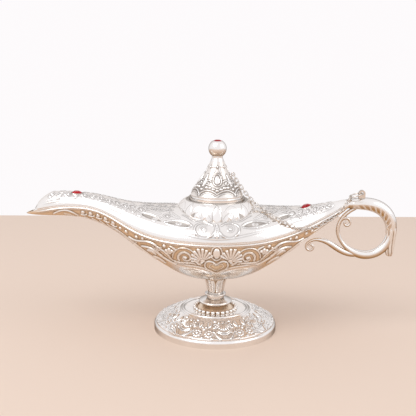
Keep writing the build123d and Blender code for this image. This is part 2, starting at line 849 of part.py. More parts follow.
# Ring that hangs in the lug and lies on the tail
droop = radians(ring_droop)
ring_along = Vector(-cos(droop), 0, -sin(droop))
ring_middle = lug_centre + ring_along * ring_radius
ring_plane = Plane(origin=ring_middle, x_dir=ring_along, z_dir=ring_along.cross(Vector(0, 1, 0)))
handle_ring = wire_loop(ring_plane, 0, ring_radius, 2 * loop_corners, ring_wire)
handle_ring.label = "handle_ring"
export_step(handle_ring, "parts/handle_ring.step")

# One link, lying along X in the XY plane
link_half_run = (link_inner_length - link_inner_width) / 2
link_bend = link_inner_width / 2 + link_wire
link = wire_loop(Plane.XY, link_half_run, link_bend, link_corners, link_wire)

# Route of the chain: down the bell and the dome, over the cover, past the near rim and up to the ring


def above_cover(x, y):
    """Point above the cover at the plan point (x, y), lifted square to its face."""
    step = 0.2
    along = (cover_z(x + step, y) - cover_z(x - step, y)) / (2 * step)
    across = (cover_z(x, y + step) - cover_z(x, y - step)) / (2 * step)
    return Vector(x, y, cover_z(x, y)) + Vector(-along, -across, 1).normalized() * chain_lift


def beside_rim(x, out, up):
    """Point beside the near rim, so far outside it and above the seam."""
    return Vector(x, -half_width(x) - out, seam_z(x) + up)


eye_hang = radians(eye_hang_angle)
ring_hang = radians(ring_hang_angle)
chain_start = eye_centre + Vector(cos(eye_hang), 0, sin(eye_hang)) * eye_radius
chain_end = ring_middle + (ring_along * cos(ring_hang) - Vector(0, sin(ring_hang), 0)) * ring_radius
ring_tangent = ring_along * -sin(ring_hang) - Vector(0, cos(ring_hang), 0)
chain_route = Spline(
    chain_start,
    Vector(lid_shoulder_radius, chain_bell_offset, cone_base + lid_shoulder_height) + eye_out * chain_lift,
    *[above_cover(*point) for point in chain_over_cover],
    *[beside_rim(tail(share), out, up) for share, out, up in chain_beside_rim],
    chain_end,
)
first_link = link_inner_length / 2 - eye_wire - link_play / 2
last_link = chain_route.length - link_inner_length / 2 + ring_wire + link_play / 2
longest_pitch = link_inner_length - link_play
link_count = 2 * ceil((last_link - first_link) / longest_pitch / 2 + 0.5)
pitch = (last_link - first_link) / (link_count - 1)
print("chain", round(chain_route.length, 1), "mm,", link_count, "links, pitch", round(pitch, 2))


def link_place(index):
    """Location of one link, every other one turned a quarter about the route."""
    part = (first_link + index * pitch) / chain_route.length
    along = chain_route % part
    across = ring_tangent if index == link_count - 1 else Vector(0, 1, 0)
    across = (across - along * along.dot(across)).normalized()
    facing = along.cross(across) if index % 2 == 0 else across
    return Plane(origin=chain_route @ part, x_dir=along, z_dir=facing).location


first_handle_link = link_count - handle_run_links
runs = {
    "chain_lid_run": range(first_handle_link),
    "chain_handle_run": range(first_handle_link, link_count),
}
for name, indices in runs.items():
    with BuildPart() as run:
        with Locations(*[link_place(i) for i in indices]):
            add(link)
    run.part.label = name
    export_step(run.part, f"parts/{name}.step")
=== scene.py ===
"""Genie oil lamp: carved relief, stones, chain, finishes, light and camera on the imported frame."""
import math

import bmesh
import bpy
import numpy as np
from mathutils import Matrix, Vector


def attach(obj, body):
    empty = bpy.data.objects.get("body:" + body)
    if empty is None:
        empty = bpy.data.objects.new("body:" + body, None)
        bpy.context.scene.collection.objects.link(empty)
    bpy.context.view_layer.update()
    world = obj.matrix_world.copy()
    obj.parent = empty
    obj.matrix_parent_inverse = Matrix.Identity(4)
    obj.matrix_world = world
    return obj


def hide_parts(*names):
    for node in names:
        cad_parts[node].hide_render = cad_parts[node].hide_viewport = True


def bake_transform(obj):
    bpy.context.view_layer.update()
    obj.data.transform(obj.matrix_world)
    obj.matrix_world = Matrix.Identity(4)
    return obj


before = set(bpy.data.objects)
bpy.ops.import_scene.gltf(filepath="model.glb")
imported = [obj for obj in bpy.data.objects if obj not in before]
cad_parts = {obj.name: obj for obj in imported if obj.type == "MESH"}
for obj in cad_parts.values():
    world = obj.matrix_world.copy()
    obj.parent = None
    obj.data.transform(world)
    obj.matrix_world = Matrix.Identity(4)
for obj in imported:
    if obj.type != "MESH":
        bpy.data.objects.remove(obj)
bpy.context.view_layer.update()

MM = 0.001

# The hull's heights and guide lines, in millimetres: spout on -X, camera on -Y.
seam_height = 68.0
hull_start = -127.4
hull_end = 88.0
hood_start = -121.0
plan_guide = ((-128, 0.8), (-122, 4.784), (-110, 8.6), (-90, 9.8), (-70, 14.4), (-40, 29.23), (0, 37),
              (30, 32.0), (56, 17.5), (74, 7.8), (88, 4.6), (92, 4.0))
seam_guide = ((-128, 11.3), (-112, 15.9), (-94, 17.9), (-76, 15.3), (-54, 5.73), (-28, 0.716), (0, 0),
              (30, 1.194), (56, 6.169), (74, 12.935), (88, 19.9), (92, 21.5))
keel_guide = ((-128, 10.9), (-112, 9.9), (-92, 9.3), (-74, 4.2), (-56, -7.22), (-36, -20.88),
              (-16, -29.99), (0, -31.4), (16, -29.67), (36, -21.04), (56, -6.59), (74, 6.1), (88, 16.9),
              (92, 19.9))
ridge_guide = ((-121.8, 14.4), (-118.6, 19.5), (-112, 24.1), (-100, 25.1), (-82, 23.5), (-62, 18.8),
               (-42, 16.8), (0, 16.9), (42, 16.0), (64, 17.5), (88, 22.9), (92, 23.7))


def run_along(path):
    """Distance along a path at each of its points."""
    return np.concatenate(([0.0], np.cumsum(np.linalg.norm(np.diff(path, axis=0), axis=1))))


def curve_through(points, count):
    """Evenly spaced points along a smooth curve through the given ones."""
    fine_steps = 6 * count
    knots = np.asarray(points, float)
    at = run_along(knots)
    spans = np.diff(at)
    size = len(knots)
    near = min(4, size)
    system = np.zeros((size, size))
    target = np.zeros_like(knots)
    system[0, 0] = 1
    system[-1, -1] = 1
    target[0] = np.polyfit(at[:near] - at[0], knots[:near], near - 1)[-2]
    target[-1] = np.polyfit(at[-near:] - at[-1], knots[-near:], near - 1)[-2]
    for i in range(1, size - 1):
        before = spans[i - 1]
        after = spans[i]
        system[i, i - 1:i + 2] = (after, 2 * (before + after), before)
        target[i] = 3 * (after / before * (knots[i] - knots[i - 1])
                         + before / after * (knots[i + 1] - knots[i]))
    slopes = np.linalg.solve(system, target)
    fine = np.linspace(0, at[-1], fine_steps)
    k = np.clip(np.searchsorted(at, fine, "right") - 1, 0, size - 2)
    s = ((fine - at[k]) / spans[k])[:, None]
    span = spans[k][:, None]
    curve = ((1 + 2 * s) * (1 - s) ** 2 * knots[k] + s * (1 - s) ** 2 * span * slopes[k]
             + s ** 2 * (3 - 2 * s) * knots[k + 1] + s ** 2 * (s - 1) * span * slopes[k + 1])
    run = run_along(curve)
    even = np.linspace(0, run[-1], count)
    return np.stack([np.interp(even, run, column) for column in curve.T], axis=1)


def guide_line(points):
    """The guide through the given points, as a function of the place along the lamp."""
    guide_steps = 900
    along, value = curve_through(points, guide_steps).T
    return lambda x: np.interp(x, along, value)


plan_line = guide_line(plan_guide)
seam_line = guide_line(seam_guide)
keel_line = guide_line(keel_guide)
ridge_line = guide_line(ridge_guide)


def smooth(value, low, high):
    """0 below low, 1 above high, and an even ease between them."""
    part = np.clip((value - low) / (high - low), 0, 1)
    return part * part * (3 - 2 * part)


def within(value, opens, full, closes, shut):
    """1 from full to closes, easing to 0 at opens and at shut."""
    return smooth(value, opens, full) * (1 - smooth(value, closes, shut))


# Cross sections of raised bands: q runs from -1 to 1 across, part from 0 to 1 along.
def rounded(q, part):
    """A round wire half sunk in the ground."""
    return np.sqrt(np.clip(1 - q * q, 0, 1))


def ribbon(q, part):
    """A flat strap with two raised edges."""
    edge_at, ground = 0.72, 0.55
    strap = ground + (1 - ground) * (q / edge_at) ** 4
    return np.where(np.abs(q) < edge_at, strap, np.clip((1 - np.abs(q)) / (1 - edge_at), 0, 1))


def creased(q, part):
    """A blade with a cut midrib."""
    cut_depth, cut_half = 0.65, 0.17
    return rounded(q, part) * (1 - cut_depth * np.exp(-(q / cut_half) ** 2))


def feathered(q, part):
    """An acanthus blade: a cut midrib and slanting veins."""
    veins, slant, depth = 7, 1.1, 0.26
    wave = np.cos(2 * math.pi * (veins * part - slant * np.abs(q)))
    return creased(q, part) * (1 - depth + depth * wave)


def swollen(q, part):
    """A plain petal, full in the middle with a thin lip."""
    fullness = 2.6
    return np.sqrt(np.clip(1 - np.abs(q) ** fullness, 0, 1))


def hollowed(q, part):
    """A leaf with raised edges, a sunk middle and a thin midrib."""
    edge_at, edge_half, ground, midrib, midrib_half = 0.8, 0.2, 0.1, 0.35, 0.13
    edge = np.sqrt(np.clip(1 - ((np.abs(q) - edge_at) / edge_half) ** 2, 0, 1))
    return np.maximum(edge, ground + midrib * np.exp(-(q / midrib_half) ** 2)) * (np.abs(q) < 1)


def spindle(half):
    """Half width of a blade that swells from a point and ends in a point."""
    lead, fullness, point_half = 0.72, 0.8, 0.06
    return lambda part: half * np.clip(np.sin(math.pi * part ** lead), 0, 1) ** fullness + point_half


def lobed(half, lobes):
    """Half width of a leaf with rounded lobes."""
    notch = 0.28
    blade = spindle(half)
    return lambda part: blade(part) * (1 - notch + notch * np.abs(np.sin(math.pi * lobes * part)))


def tapered(wide, narrow):
    """Half width that changes evenly from one end to the other."""
    return lambda part: wide + (narrow - wide) * part


class Carving:
    """Height of the carved relief, in millimetres, over a surface laid flat (along, across)."""

    def __init__(self, along, across, step):
        self.step = step
        self.along = np.arange(along[0], along[1] + step, step)
        self.across = np.arange(across[0], across[1] + step, step)
        self.height = np.zeros((len(self.along), len(self.across)))

    def patch(self, low, high):
        """The cells inside a box, with their coordinates."""
        first, last = np.searchsorted(self.along, (low[0], high[0]))
        bottom, top = np.searchsorted(self.across, (low[1], high[1]))
        where = (slice(first, last), slice(bottom, top))
        a, c = np.meshgrid(self.along[where[0]], self.across[where[1]], indexing="ij")
        return where, a, c

    def lay(self, where, height):
        """Keeps the higher of what is there and what is laid."""
        self.height[where] = np.maximum(self.height[where], height)

    def band(self, points, half, height, section=rounded):
        """A raised band along a curve; its half width is constant or a function of the part run."""
        fewest, most, per_millimetre = 14, 150, 2.4
        rough = np.asarray(points, float)
        path = curve_through(rough, int(np.clip(per_millimetre * run_along(rough)[-1], fewest, most)))
        part = np.linspace(0, 1, len(path))
        width = half(part) if callable(half) else np.full(len(path), float(half))
        margin = width.max() + self.step
        where, a, c = self.patch(path.min(axis=0) - margin, path.max(axis=0) + margin)
        if a.size == 0:
            return
        gap = np.hypot(a[..., None] - path[:, 0], c[..., None] - path[:, 1]) / width
        nearest = gap.argmin(axis=-1)
        lead = np.gradient(path, axis=0)[nearest]
        side = np.sign(lead[..., 0] * (c - path[nearest, 1]) - lead[..., 1] * (a - path[nearest, 0]))
        q = np.clip(gap.min(axis=-1), 0, 1) * np.where(side == 0, 1, side)
        self.lay(where, height * section(q, part[nearest]))

    def oval(self, centre, half_along, half_across, height, power=0.5):
        """A domed oval boss."""
        reach = np.array((half_along, half_across))
        where, a, c = self.patch(np.array(centre) - reach, np.array(centre) + reach)
        q = ((a - centre[0]) / half_along) ** 2 + ((c - centre[1]) / half_across) ** 2
        self.lay(where, height * np.clip(1 - q, 0, 1) ** power)

    def bead(self, centre, radius, height):
        """A domed round boss."""
        self.oval(centre, radius, radius, height)

    def ring(self, centre, half_along, half_across, half, height, start=0, sweep=360):
        """A raised band round an oval, whole or in part."""
        turn = np.radians(np.linspace(start, start + sweep, 25))
        path = (centre[0] + half_along * np.cos(turn), centre[1] + half_across * np.sin(turn))
        self.band(np.stack(path, axis=1), half, height)

    def scroll(self, centre, outer, inner, start, sweep, half, height):
        """A ribbon that winds in to a bead."""
        end_share, bead_share, bead_lift = 0.62, 0.95, 1.1
        turn = np.radians(np.linspace(start, start + sweep, 26))
        radius = np.linspace(outer, inner, len(turn))
        path = (centre[0] + radius * np.cos(turn), centre[1] + radius * np.sin(turn))
        self.band(np.stack(path, axis=1), tapered(half, half * end_share), height, ribbon)
        self.bead(centre, inner * bead_share, height * bead_lift)

    def cap(self, centre, radius, rise):
        """The low round boss that the solid carries under an ornament."""
        ball = (radius ** 2 + rise ** 2) / (2 * rise)
        where, a, c = self.patch(np.array(centre) - radius, np.array(centre) + radius)
        away = np.minimum((a - centre[0]) ** 2 + (c - centre[1]) ** 2, radius ** 2)
        self.lay(where, np.sqrt(ball ** 2 - away) - (ball - rise))

    def fan(self, base, heading, spread, radius, ribs, height):
        """A shell: ribs that open from a base, each ending in a round tip, the outer ones shorter."""
        shorter, rib_start, base_share, root_share, tip_share = 0.16, 0.22, 0.17, 0.3, 0.66
        for rib in range(ribs):
            aside = rib / (ribs - 1) - 0.5
            turn = math.radians(heading + spread * aside)
            way = np.array((math.cos(turn), math.sin(turn)))
            reach = radius * (1 - shorter * abs(aside) * 2)
            tip = 0.5 * math.radians(spread) / (ribs - 1) * reach
            ends = (np.array(base) + way * radius * rib_start, np.array(base) + way * (reach - tip))
            self.band(ends, tapered(tip * root_share, tip * tip_share), height)
        self.bead(base, radius * base_share, height)

    def leaf(self, points, half, height, lobes, section=feathered):
        """An acanthus leaf along a curve."""
        self.band(points, lobed(half, lobes), height, section)

    def blade(self, points, half, height, section=creased):
        """A long smooth leaf along a curve."""
        self.band(points, spindle(half), height, section)

    def rosette(self, centre, radius, petals, height):
        """A flower of round petals about a bead."""
        petals_out, petal_radius, middle_radius = 0.62 * radius, 0.24 * radius, 0.3 * radius
        petal_height, middle_height = 0.9 * height, 1.1 * height
        for petal in range(petals):
            turn = 2 * math.pi * (petal + 0.5) / petals
            spot = (centre[0] + petals_out * math.cos(turn), centre[1] + petals_out * math.sin(turn))
            self.bead(spot, petal_radius, petal_height)
        self.bead(centre, middle_radius, middle_height)

    def grooves(self, width, full):
        """How far each cell lies in a crease beside something raised, from 0 to 1."""
        level = self.height
        for _ in range(int(2 * (width / self.step) ** 2)):
            level = 0.25 * np.roll(level, 1, 0) + 0.5 * level + 0.25 * np.roll(level, -1, 0)
            level = 0.25 * np.roll(level, 1, 1) + 0.5 * level + 0.25 * np.roll(level, -1, 1)
        return np.clip((level - self.height) / full, 0, 1)

    def at(self, field, a, c):
        """The value of a field over the cells at any place between them."""
        inside = 1.001
        i = np.clip((a - self.along[0]) / self.step, 0, len(self.along) - inside)
        j = np.clip((c - self.across[0]) / self.step, 0, len(self.across) - inside)
        row = i.astype(int)
        column = j.astype(int)
        u = i - row
        v = j - column
        return ((1 - u) * (1 - v) * field[row, column] + u * (1 - v) * field[row + 1, column]
                + (1 - u) * v * field[row, column + 1] + u * v * field[row + 1, column + 1])


def flipped(points, side, middle=0):
    """Points of a pattern's right half about its middle, mirrored to the left for side -1."""
    return [(middle + side * x, d) for x, d in points]


def twin_scroll(carved, side, centre, outer, inner, start, sweep, half, height):
    """A volute of the pattern's right half, mirrored to the left for side -1."""
    first_turn = 90 - side * (90 - start)
    carved.scroll((side * centre[0], centre[1]), outer, inner, first_turn, side * sweep, half, height)


# Materials.
def add_node(tree, kind, values=None, **settings):
    """A shader node, with its inputs set or linked."""
    made = tree.nodes.new(kind)
    for name, value in settings.items():
        setattr(made, name, value)
    for name, value in (values or {}).items():
        if isinstance(value, bpy.types.NodeSocket):
            tree.links.new(value, made.inputs[name])
        else:
            made.inputs[name].default_value = value
    return made


def new_group(name, sockets_in, sockets_out):
    """An empty shader node group with its sockets."""
    group = bpy.data.node_groups.new(name, "ShaderNodeTree")
    for label, kind in sockets_in:
        group.interface.new_socket(label, in_out="INPUT", socket_type=kind)
    for label, kind in sockets_out:
        group.interface.new_socket(label, in_out="OUTPUT", socket_type=kind)
    return group


def new_material(name):
    """A material, its node tree and its surface."""
    material = bpy.data.materials.new(name)
    material.use_nodes = True
    return material, material.node_tree, material.node_tree.nodes["Principled BSDF"]


# Kinds of group sockets, and the places of a colour mix's two inputs and its output.
VALUE = "NodeSocketFloat"
COLOUR = "NodeSocketColor"
MIX_FIRST = 6
MIX_SECOND = 7
MIX_RESULT = 2


def mixed_colour(tree, factor, first, second):
    """A mix of two colours, which are given as colours or as sockets."""
    mixed = add_node(tree, "ShaderNodeMix", {"Factor": factor, MIX_FIRST: first, MIX_SECOND: second},
                     data_type="RGBA")
    return mixed.outputs[MIX_RESULT]


def noise(tree, scale, detail):
    """A noise over the object's own coordinates, from 0 to 1."""
    place = add_node(tree, "ShaderNodeTexCoord").outputs["Object"]
    made = add_node(tree, "ShaderNodeTexNoise", {"Vector": place, "Scale": scale, "Detail": detail})
    return made.outputs["Fac"]


def spread(tree, value, to_limits, from_limits=(0.0, 1.0)):
    """A value carried from one pair of limits to another and held within them."""
    made = add_node(tree, "ShaderNodeMapRange",
                    {"Value": value, "From Min": from_limits[0], "From Max": from_limits[1],
                     "To Min": to_limits[0], "To Max": to_limits[1]})
    return made.outputs[0]


def handled_silver():
    """Group: bare silver, tarnished on the ground, with painted shade in the creases, smudges and a fine
    grain.
    """
    smudge_scale, grain_scale = 70.0, 1100.0
    smudge_strength, crease_strength, smear_strength = 0.16, 0.85, 0.28
    rough_tarnish, smooth_bare = 0.44, 0.17
    group = new_group("handled_silver",
                      (("Raised", VALUE), ("Crease", VALUE), ("Bare", COLOUR), ("Tarnish", COLOUR),
                       ("Painted shade", COLOUR)),
                      (("Colour", COLOUR), ("Roughness", VALUE), ("Grain", VALUE)))
    inlet = group.nodes.new("NodeGroupInput").outputs
    outlet = group.nodes.new("NodeGroupOutput").inputs
    smudge = noise(group, smudge_scale, 4.0)
    grain = noise(group, grain_scale, 2.0)
    unrest = spread(group, smudge, (-smudge_strength, smudge_strength), (0.3, 0.7))
    bright = add_node(group, "ShaderNodeMath", {0: inlet["Raised"], 1: unrest}, operation="ADD",
                      use_clamp=True).outputs[0]
    # How much painted crease shade darkens the colour.
    shade_in_crease = add_node(group, "ShaderNodeMath", {0: inlet["Crease"], 1: crease_strength},
                      operation="MULTIPLY", use_clamp=True).outputs[0]
    metal = mixed_colour(group, bright, inlet["Tarnish"], inlet["Bare"])
    rough = spread(group, bright, (rough_tarnish, smooth_bare))
    smear = add_node(group, "ShaderNodeMath", {0: unrest, 1: smear_strength, 2: rough},
                     operation="MULTIPLY_ADD").outputs[0]
    group.links.new(mixed_colour(group, shade_in_crease, metal, inlet["Painted shade"]), outlet["Colour"])
    group.links.new(smear, outlet["Roughness"])
    group.links.new(grain, outlet["Grain"])
    return group


silver_group = handled_silver()
bare_silver = (0.93, 0.915, 0.90, 1)
# Warm tarnish on the ground between the carving, partly a painted reflection of the shaded table.
gold_tarnish_and_reflection = (0.80, 0.61, 0.42, 1)
pale_tarnish = (0.74, 0.69, 0.64, 1)
clear_tarnish = (0.88, 0.86, 0.84, 1)
# Crease colours (foot, brown, grey, light): painted shade in the creases and hollows beside the relief.
foot_crease_shade = (0.24, 0.205, 0.175, 1)
# Painted brown reflection of the table on surfaces that face down; also the ground colour of the handle's
# carving.
underside_reflection_brown = (0.50, 0.31, 0.14, 1)
brown_crease_shade = (0.24, 0.155, 0.09, 1)
grey_crease_shade = (0.17, 0.14, 0.115, 1)
light_crease_shade = (0.33, 0.305, 0.285, 1)
wire_grey = (0.70, 0.67, 0.64, 1)
# Specular edge tints that paint shade on grazing edges; the dark one draws dark outlines.
edge_shade = (0.84, 0.81, 0.78, 1)
dark_edge_shade = (0.34, 0.31, 0.28, 1)


def silver(name, tarnish, crease_shade_colour, raised, grain, under=0.85, under_from=0.05, bare=bare_silver,
           edge=edge_shade):
    """A silver whose bright and tarnished parts follow the carved height; plain pieces count as bright.

    raised holds the heights that are fully tarnished and fully bright, under is how far surfaces that
    face down take a painted brown reflection of the table, and under_from is the upright part of the
    normal where that begins. The crease colour paints shade into the creases.
    """
    fully_under, grain_depth = -0.45, 0.0004
    material, tree, surface = new_material(name)
    surface.inputs["Metallic"].default_value = 1.0
    # The edge tint paints shade on grazing edges.
    surface.inputs["Specular Tint"].default_value = edge
    height = add_node(tree, "ShaderNodeAttribute", attribute_name="relief").outputs["Fac"]
    crease = add_node(tree, "ShaderNodeAttribute", attribute_name="crease").outputs["Fac"]
    normal = add_node(tree, "ShaderNodeTexCoord").outputs["Normal"]
    upright = add_node(tree, "ShaderNodeSeparateXYZ", {0: normal}).outputs["Z"]
    # Painted reflection: the more a surface faces down, the more it takes the table's brown.
    below = spread(tree, upright, (0.0, under), (under_from, fully_under))
    finish = add_node(tree, "ShaderNodeGroup", node_tree=silver_group)
    for socket, value in (("Raised", spread(tree, height, (0.0, 1.0), raised)), ("Crease", crease),
                          ("Bare", mixed_colour(tree, below, bare, underside_reflection_brown))):
        tree.links.new(value, finish.inputs[socket])
    finish.inputs["Tarnish"].default_value = tarnish
    finish.inputs["Painted shade"].default_value = crease_shade_colour
    bump = add_node(tree, "ShaderNodeBump",
                    {"Height": finish.outputs["Grain"], "Strength": grain, "Distance": grain_depth})
    tree.links.new(finish.outputs["Colour"], surface.inputs["Base Color"])
    tree.links.new(finish.outputs["Roughness"], surface.inputs["Roughness"])
    tree.links.new(bump.outputs[0], surface.inputs["Normal"])
    return material


always_bright = (-0.6, 0.05)
polished = silver("polished_silver", pale_tarnish, grey_crease_shade, always_bright, 0.04, 0.6, edge=dark_edge_shade)
# The handle casting takes the full painted brown reflection on its underside.
handle_cast = silver("handle_cast_silver", pale_tarnish, grey_crease_shade, always_bright, 0.04, 1.0, 0.25,
                     edge=dark_edge_shade)
stem_silver = silver("stem_silver", gold_tarnish_and_reflection, brown_crease_shade, (-0.15, 0.4), 0.1, 0.25)
bowl_silver = silver("bowl_silver", gold_tarnish_and_reflection, brown_crease_shade, (0.05, 0.6), 0.2, 0.1)
cover_silver = silver("cover_silver", pale_tarnish, light_crease_shade, (-0.42, 0.08), 0.1, 0.3)
wire_silver = silver("wire_silver", pale_tarnish, grey_crease_shade, (-0.6, 0.2), 0.03, bare=wire_grey,
                     edge=dark_edge_shade)
foot_silver = silver("foot_silver", clear_tarnish, foot_crease_shade, (-0.4, 0.2), 0.12)
lid_silver = silver("lid_silver", pale_tarnish, grey_crease_shade, (-0.15, 0.3), 0.1)
handle_silver = silver("handle_silver", underside_reflection_brown, brown_crease_shade, (0.05, 0.45), 0.1, 0.35)


def steel_of_fasteners():
    """Turned steel with fine scratches."""
    scratch_scale, dark, light = 420.0, (0.40, 0.40, 0.41, 1), (0.62, 0.62, 0.63, 1)
    material, tree, surface = new_material("turned_steel")
    surface.inputs["Metallic"].default_value = 1.0
    scratches = noise(tree, scratch_scale, 3.0)
    tone = add_node(tree, "ShaderNodeValToRGB", {"Fac": scratches})
    tone.color_ramp.elements[0].color = dark
    tone.color_ramp.elements[1].color = light
    tree.links.new(tone.outputs["Color"], surface.inputs["Base Color"])
    tree.links.new(spread(tree, scratches, (0.25, 0.5)), surface.inputs["Roughness"])
    return material


def red_stone():
    """Deep red glass over foil, with slight cloudiness inside."""
    cloud_scale, deep, light = 260.0, (0.32, 0.003, 0.008, 1), (0.62, 0.010, 0.022, 1)
    material, tree, surface = new_material("red_stone")
    tone = add_node(tree, "ShaderNodeValToRGB", {"Fac": noise(tree, cloud_scale, 3.0)})
    for element, at, colour in zip(tone.color_ramp.elements, (0.3, 0.75), (deep, light)):
        element.position = at
        element.color = colour
    tree.links.new(tone.outputs["Color"], surface.inputs["Base Color"])
    for socket, value in (("Roughness", 0.14), ("IOR", 1.45), ("Specular IOR Level", 0.3),
                          ("Transmission Weight", 0.15)):
        surface.inputs[socket].default_value = value
    return material


turned_steel = steel_of_fasteners()
red_glass = red_stone()


def finish_piece(shape, name, material, body, flat=False):
    """Turns a finished shape into an object of the lamp."""
    for face in shape.faces:
        face.smooth = not flat
    mesh = bpy.data.meshes.new(name)
    shape.to_mesh(mesh)
    shape.free()
    mesh.materials.append(material)
    piece = bpy.data.objects.new(name, mesh)
    bpy.context.scene.collection.objects.link(piece)
    if body:
        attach(piece, body)
    return piece


def outward_normals(grid, closed):
    """Unit normals of a grid of points, taken across its rows and columns."""
    if closed:
        along = np.roll(grid, -1, axis=0) - np.roll(grid, 1, axis=0)
    else:
        along = np.gradient(grid, axis=0)
    normal = np.cross(along, np.gradient(grid, axis=1))
    return normal / np.maximum(np.linalg.norm(normal, axis=2, keepdims=True), 1e-9)


def lay_skin(name, grid, heights, creases, sink, material, body, closed=True, facing=1):
    """A fine sheet over a surface's points, raised by the carved heights and sunk at its edges."""
    normals = facing * outward_normals(grid, closed)
    places = (grid + normals * (heights + sink)[..., None]) * MM
    if closed:
        places = np.concatenate([places, places[:1]])
        normals = np.concatenate([normals, normals[:1]])
        heights = np.concatenate([heights, heights[:1]])
        creases = np.concatenate([creases, creases[:1]])
    weave(name, places, normals, heights, creases, material, body)


def lifted(edge, lift, drop):
    """How far a sheet lies off its surface: lift, and less by drop at its edges."""
    return lift - drop * (1 - edge)


def lay_skin_in_halves(name, grid, heights, creases, sink, material, hidden, facing):
    """A sheet over both sides of the hull, as a near and a far half that meet in the middle."""
    normals = facing * outward_normals(grid, False)
    places = (grid + normals * (heights + sink)[..., None]) * MM
    middle = grid.shape[1] // 2
    for label, part in (("_near", np.s_[:, :middle + 1]), ("_far", np.s_[:, middle:])):
        weave(name + label, places[part], normals[part], heights[part], creases[part], material, "lamp",
              hidden[part])


def weave(name, places, normals, heights, creases, material, body, hidden=None):
    """The mesh of a sheet through the given places, facing along the normals, without what is hidden."""
    same_spot = 0.000002
    rows, columns = heights.shape
    shape = bmesh.new()
    bmesh.ops.create_grid(shape, x_segments=rows - 1, y_segments=columns - 1, size=1.0)
    relief_layer = shape.verts.layers.float.new("relief")
    crease_layer = shape.verts.layers.float.new("crease")
    spots = places.tolist()
    carved = heights.tolist()
    # Share of painted crease shade at each point, kept as the crease attribute.
    crease_shade_share = np.clip(creases, 0, 1).tolist()
    unseen = []
    for vert in shape.verts:
        row = round((vert.co.x + 1) / 2 * (rows - 1))
        column = round((vert.co.y + 1) / 2 * (columns - 1))
        vert.co = spots[row][column]
        vert[relief_layer] = carved[row][column]
        vert[crease_layer] = crease_shade_share[row][column]
        if hidden is not None and hidden[row, column]:
            unseen.append(vert)
    shape.normal_update()
    shape.faces.ensure_lookup_table()
    probe = shape.faces[len(shape.faces) // 2]
    spot = np.array(probe.calc_center_median()) / MM
    nearest = np.linalg.norm(places / MM - spot, axis=2).argmin()
    if Vector(normals.reshape(-1, 3)[nearest]).dot(probe.normal) < 0:
        bmesh.ops.reverse_faces(shape, faces=shape.faces)
    if unseen:
        bmesh.ops.delete(shape, geom=unseen, context="VERTS")
    bmesh.ops.remove_doubles(shape, verts=shape.verts, dist=same_spot)
    finish_piece(shape, name, material, body)


# The outsides of the hull's two halves, the bowl and the cover.
def shell_points(crest_line):
    """Outside of a half: turn runs from the near seam over the keel or the ridge to the far seam."""
    def points(x, turn):
        rise = crest_line(x) - seam_line(x)
        level = seam_height + seam_line(x) + rise * np.sin(turn)
        return np.stack(np.broadcast_arrays(x, -plan_line(x) * np.cos(turn), level), axis=-1)

    return points


hull_points = shell_points(keel_line)
deck_points = shell_points(ridge_line)


def section_grid(surface, x, columns):
    """Points along each section of a surface, closer by the seams, and their distance from the seam."""
    rim_columns, rim_width, full_rim_section = 15, 3.2, 14
    fine = np.linspace(0, math.pi, 361)
    places = surface(x[:, None], fine[None, :])
    steps = np.linalg.norm(np.diff(places, axis=1), axis=2)
    run = np.concatenate([np.zeros((len(x), 1)), np.cumsum(steps, axis=1)], axis=1)
    length = run[:, -1:]
    rim = np.linspace(0, rim_width, rim_columns)[None, :] * np.minimum(1, length / full_rim_section)
    share = np.linspace(0, 1, columns - 2 * rim_columns + 2)[None, 1:-1]
    rest = rim[:, -1:] + share * (length - 2 * rim[:, -1:])
    reach = np.concatenate([rim, rest, length - rim[:, ::-1]], axis=1)
    turns = np.stack([np.interp(places_along, row, fine) for places_along, row in zip(reach, run)])
    return surface(x[:, None], turns), np.minimum(reach, length - reach)


def lower_edge(x):
    """Where the bowl's carved band ends and its plain bottom begins, as a distance from the seam."""
    flank_edge, drop, drop_half = 16.4, 7.2, 6.2
    return flank_edge + drop * np.exp(-(np.abs(x) / drop_half) ** 1.3)


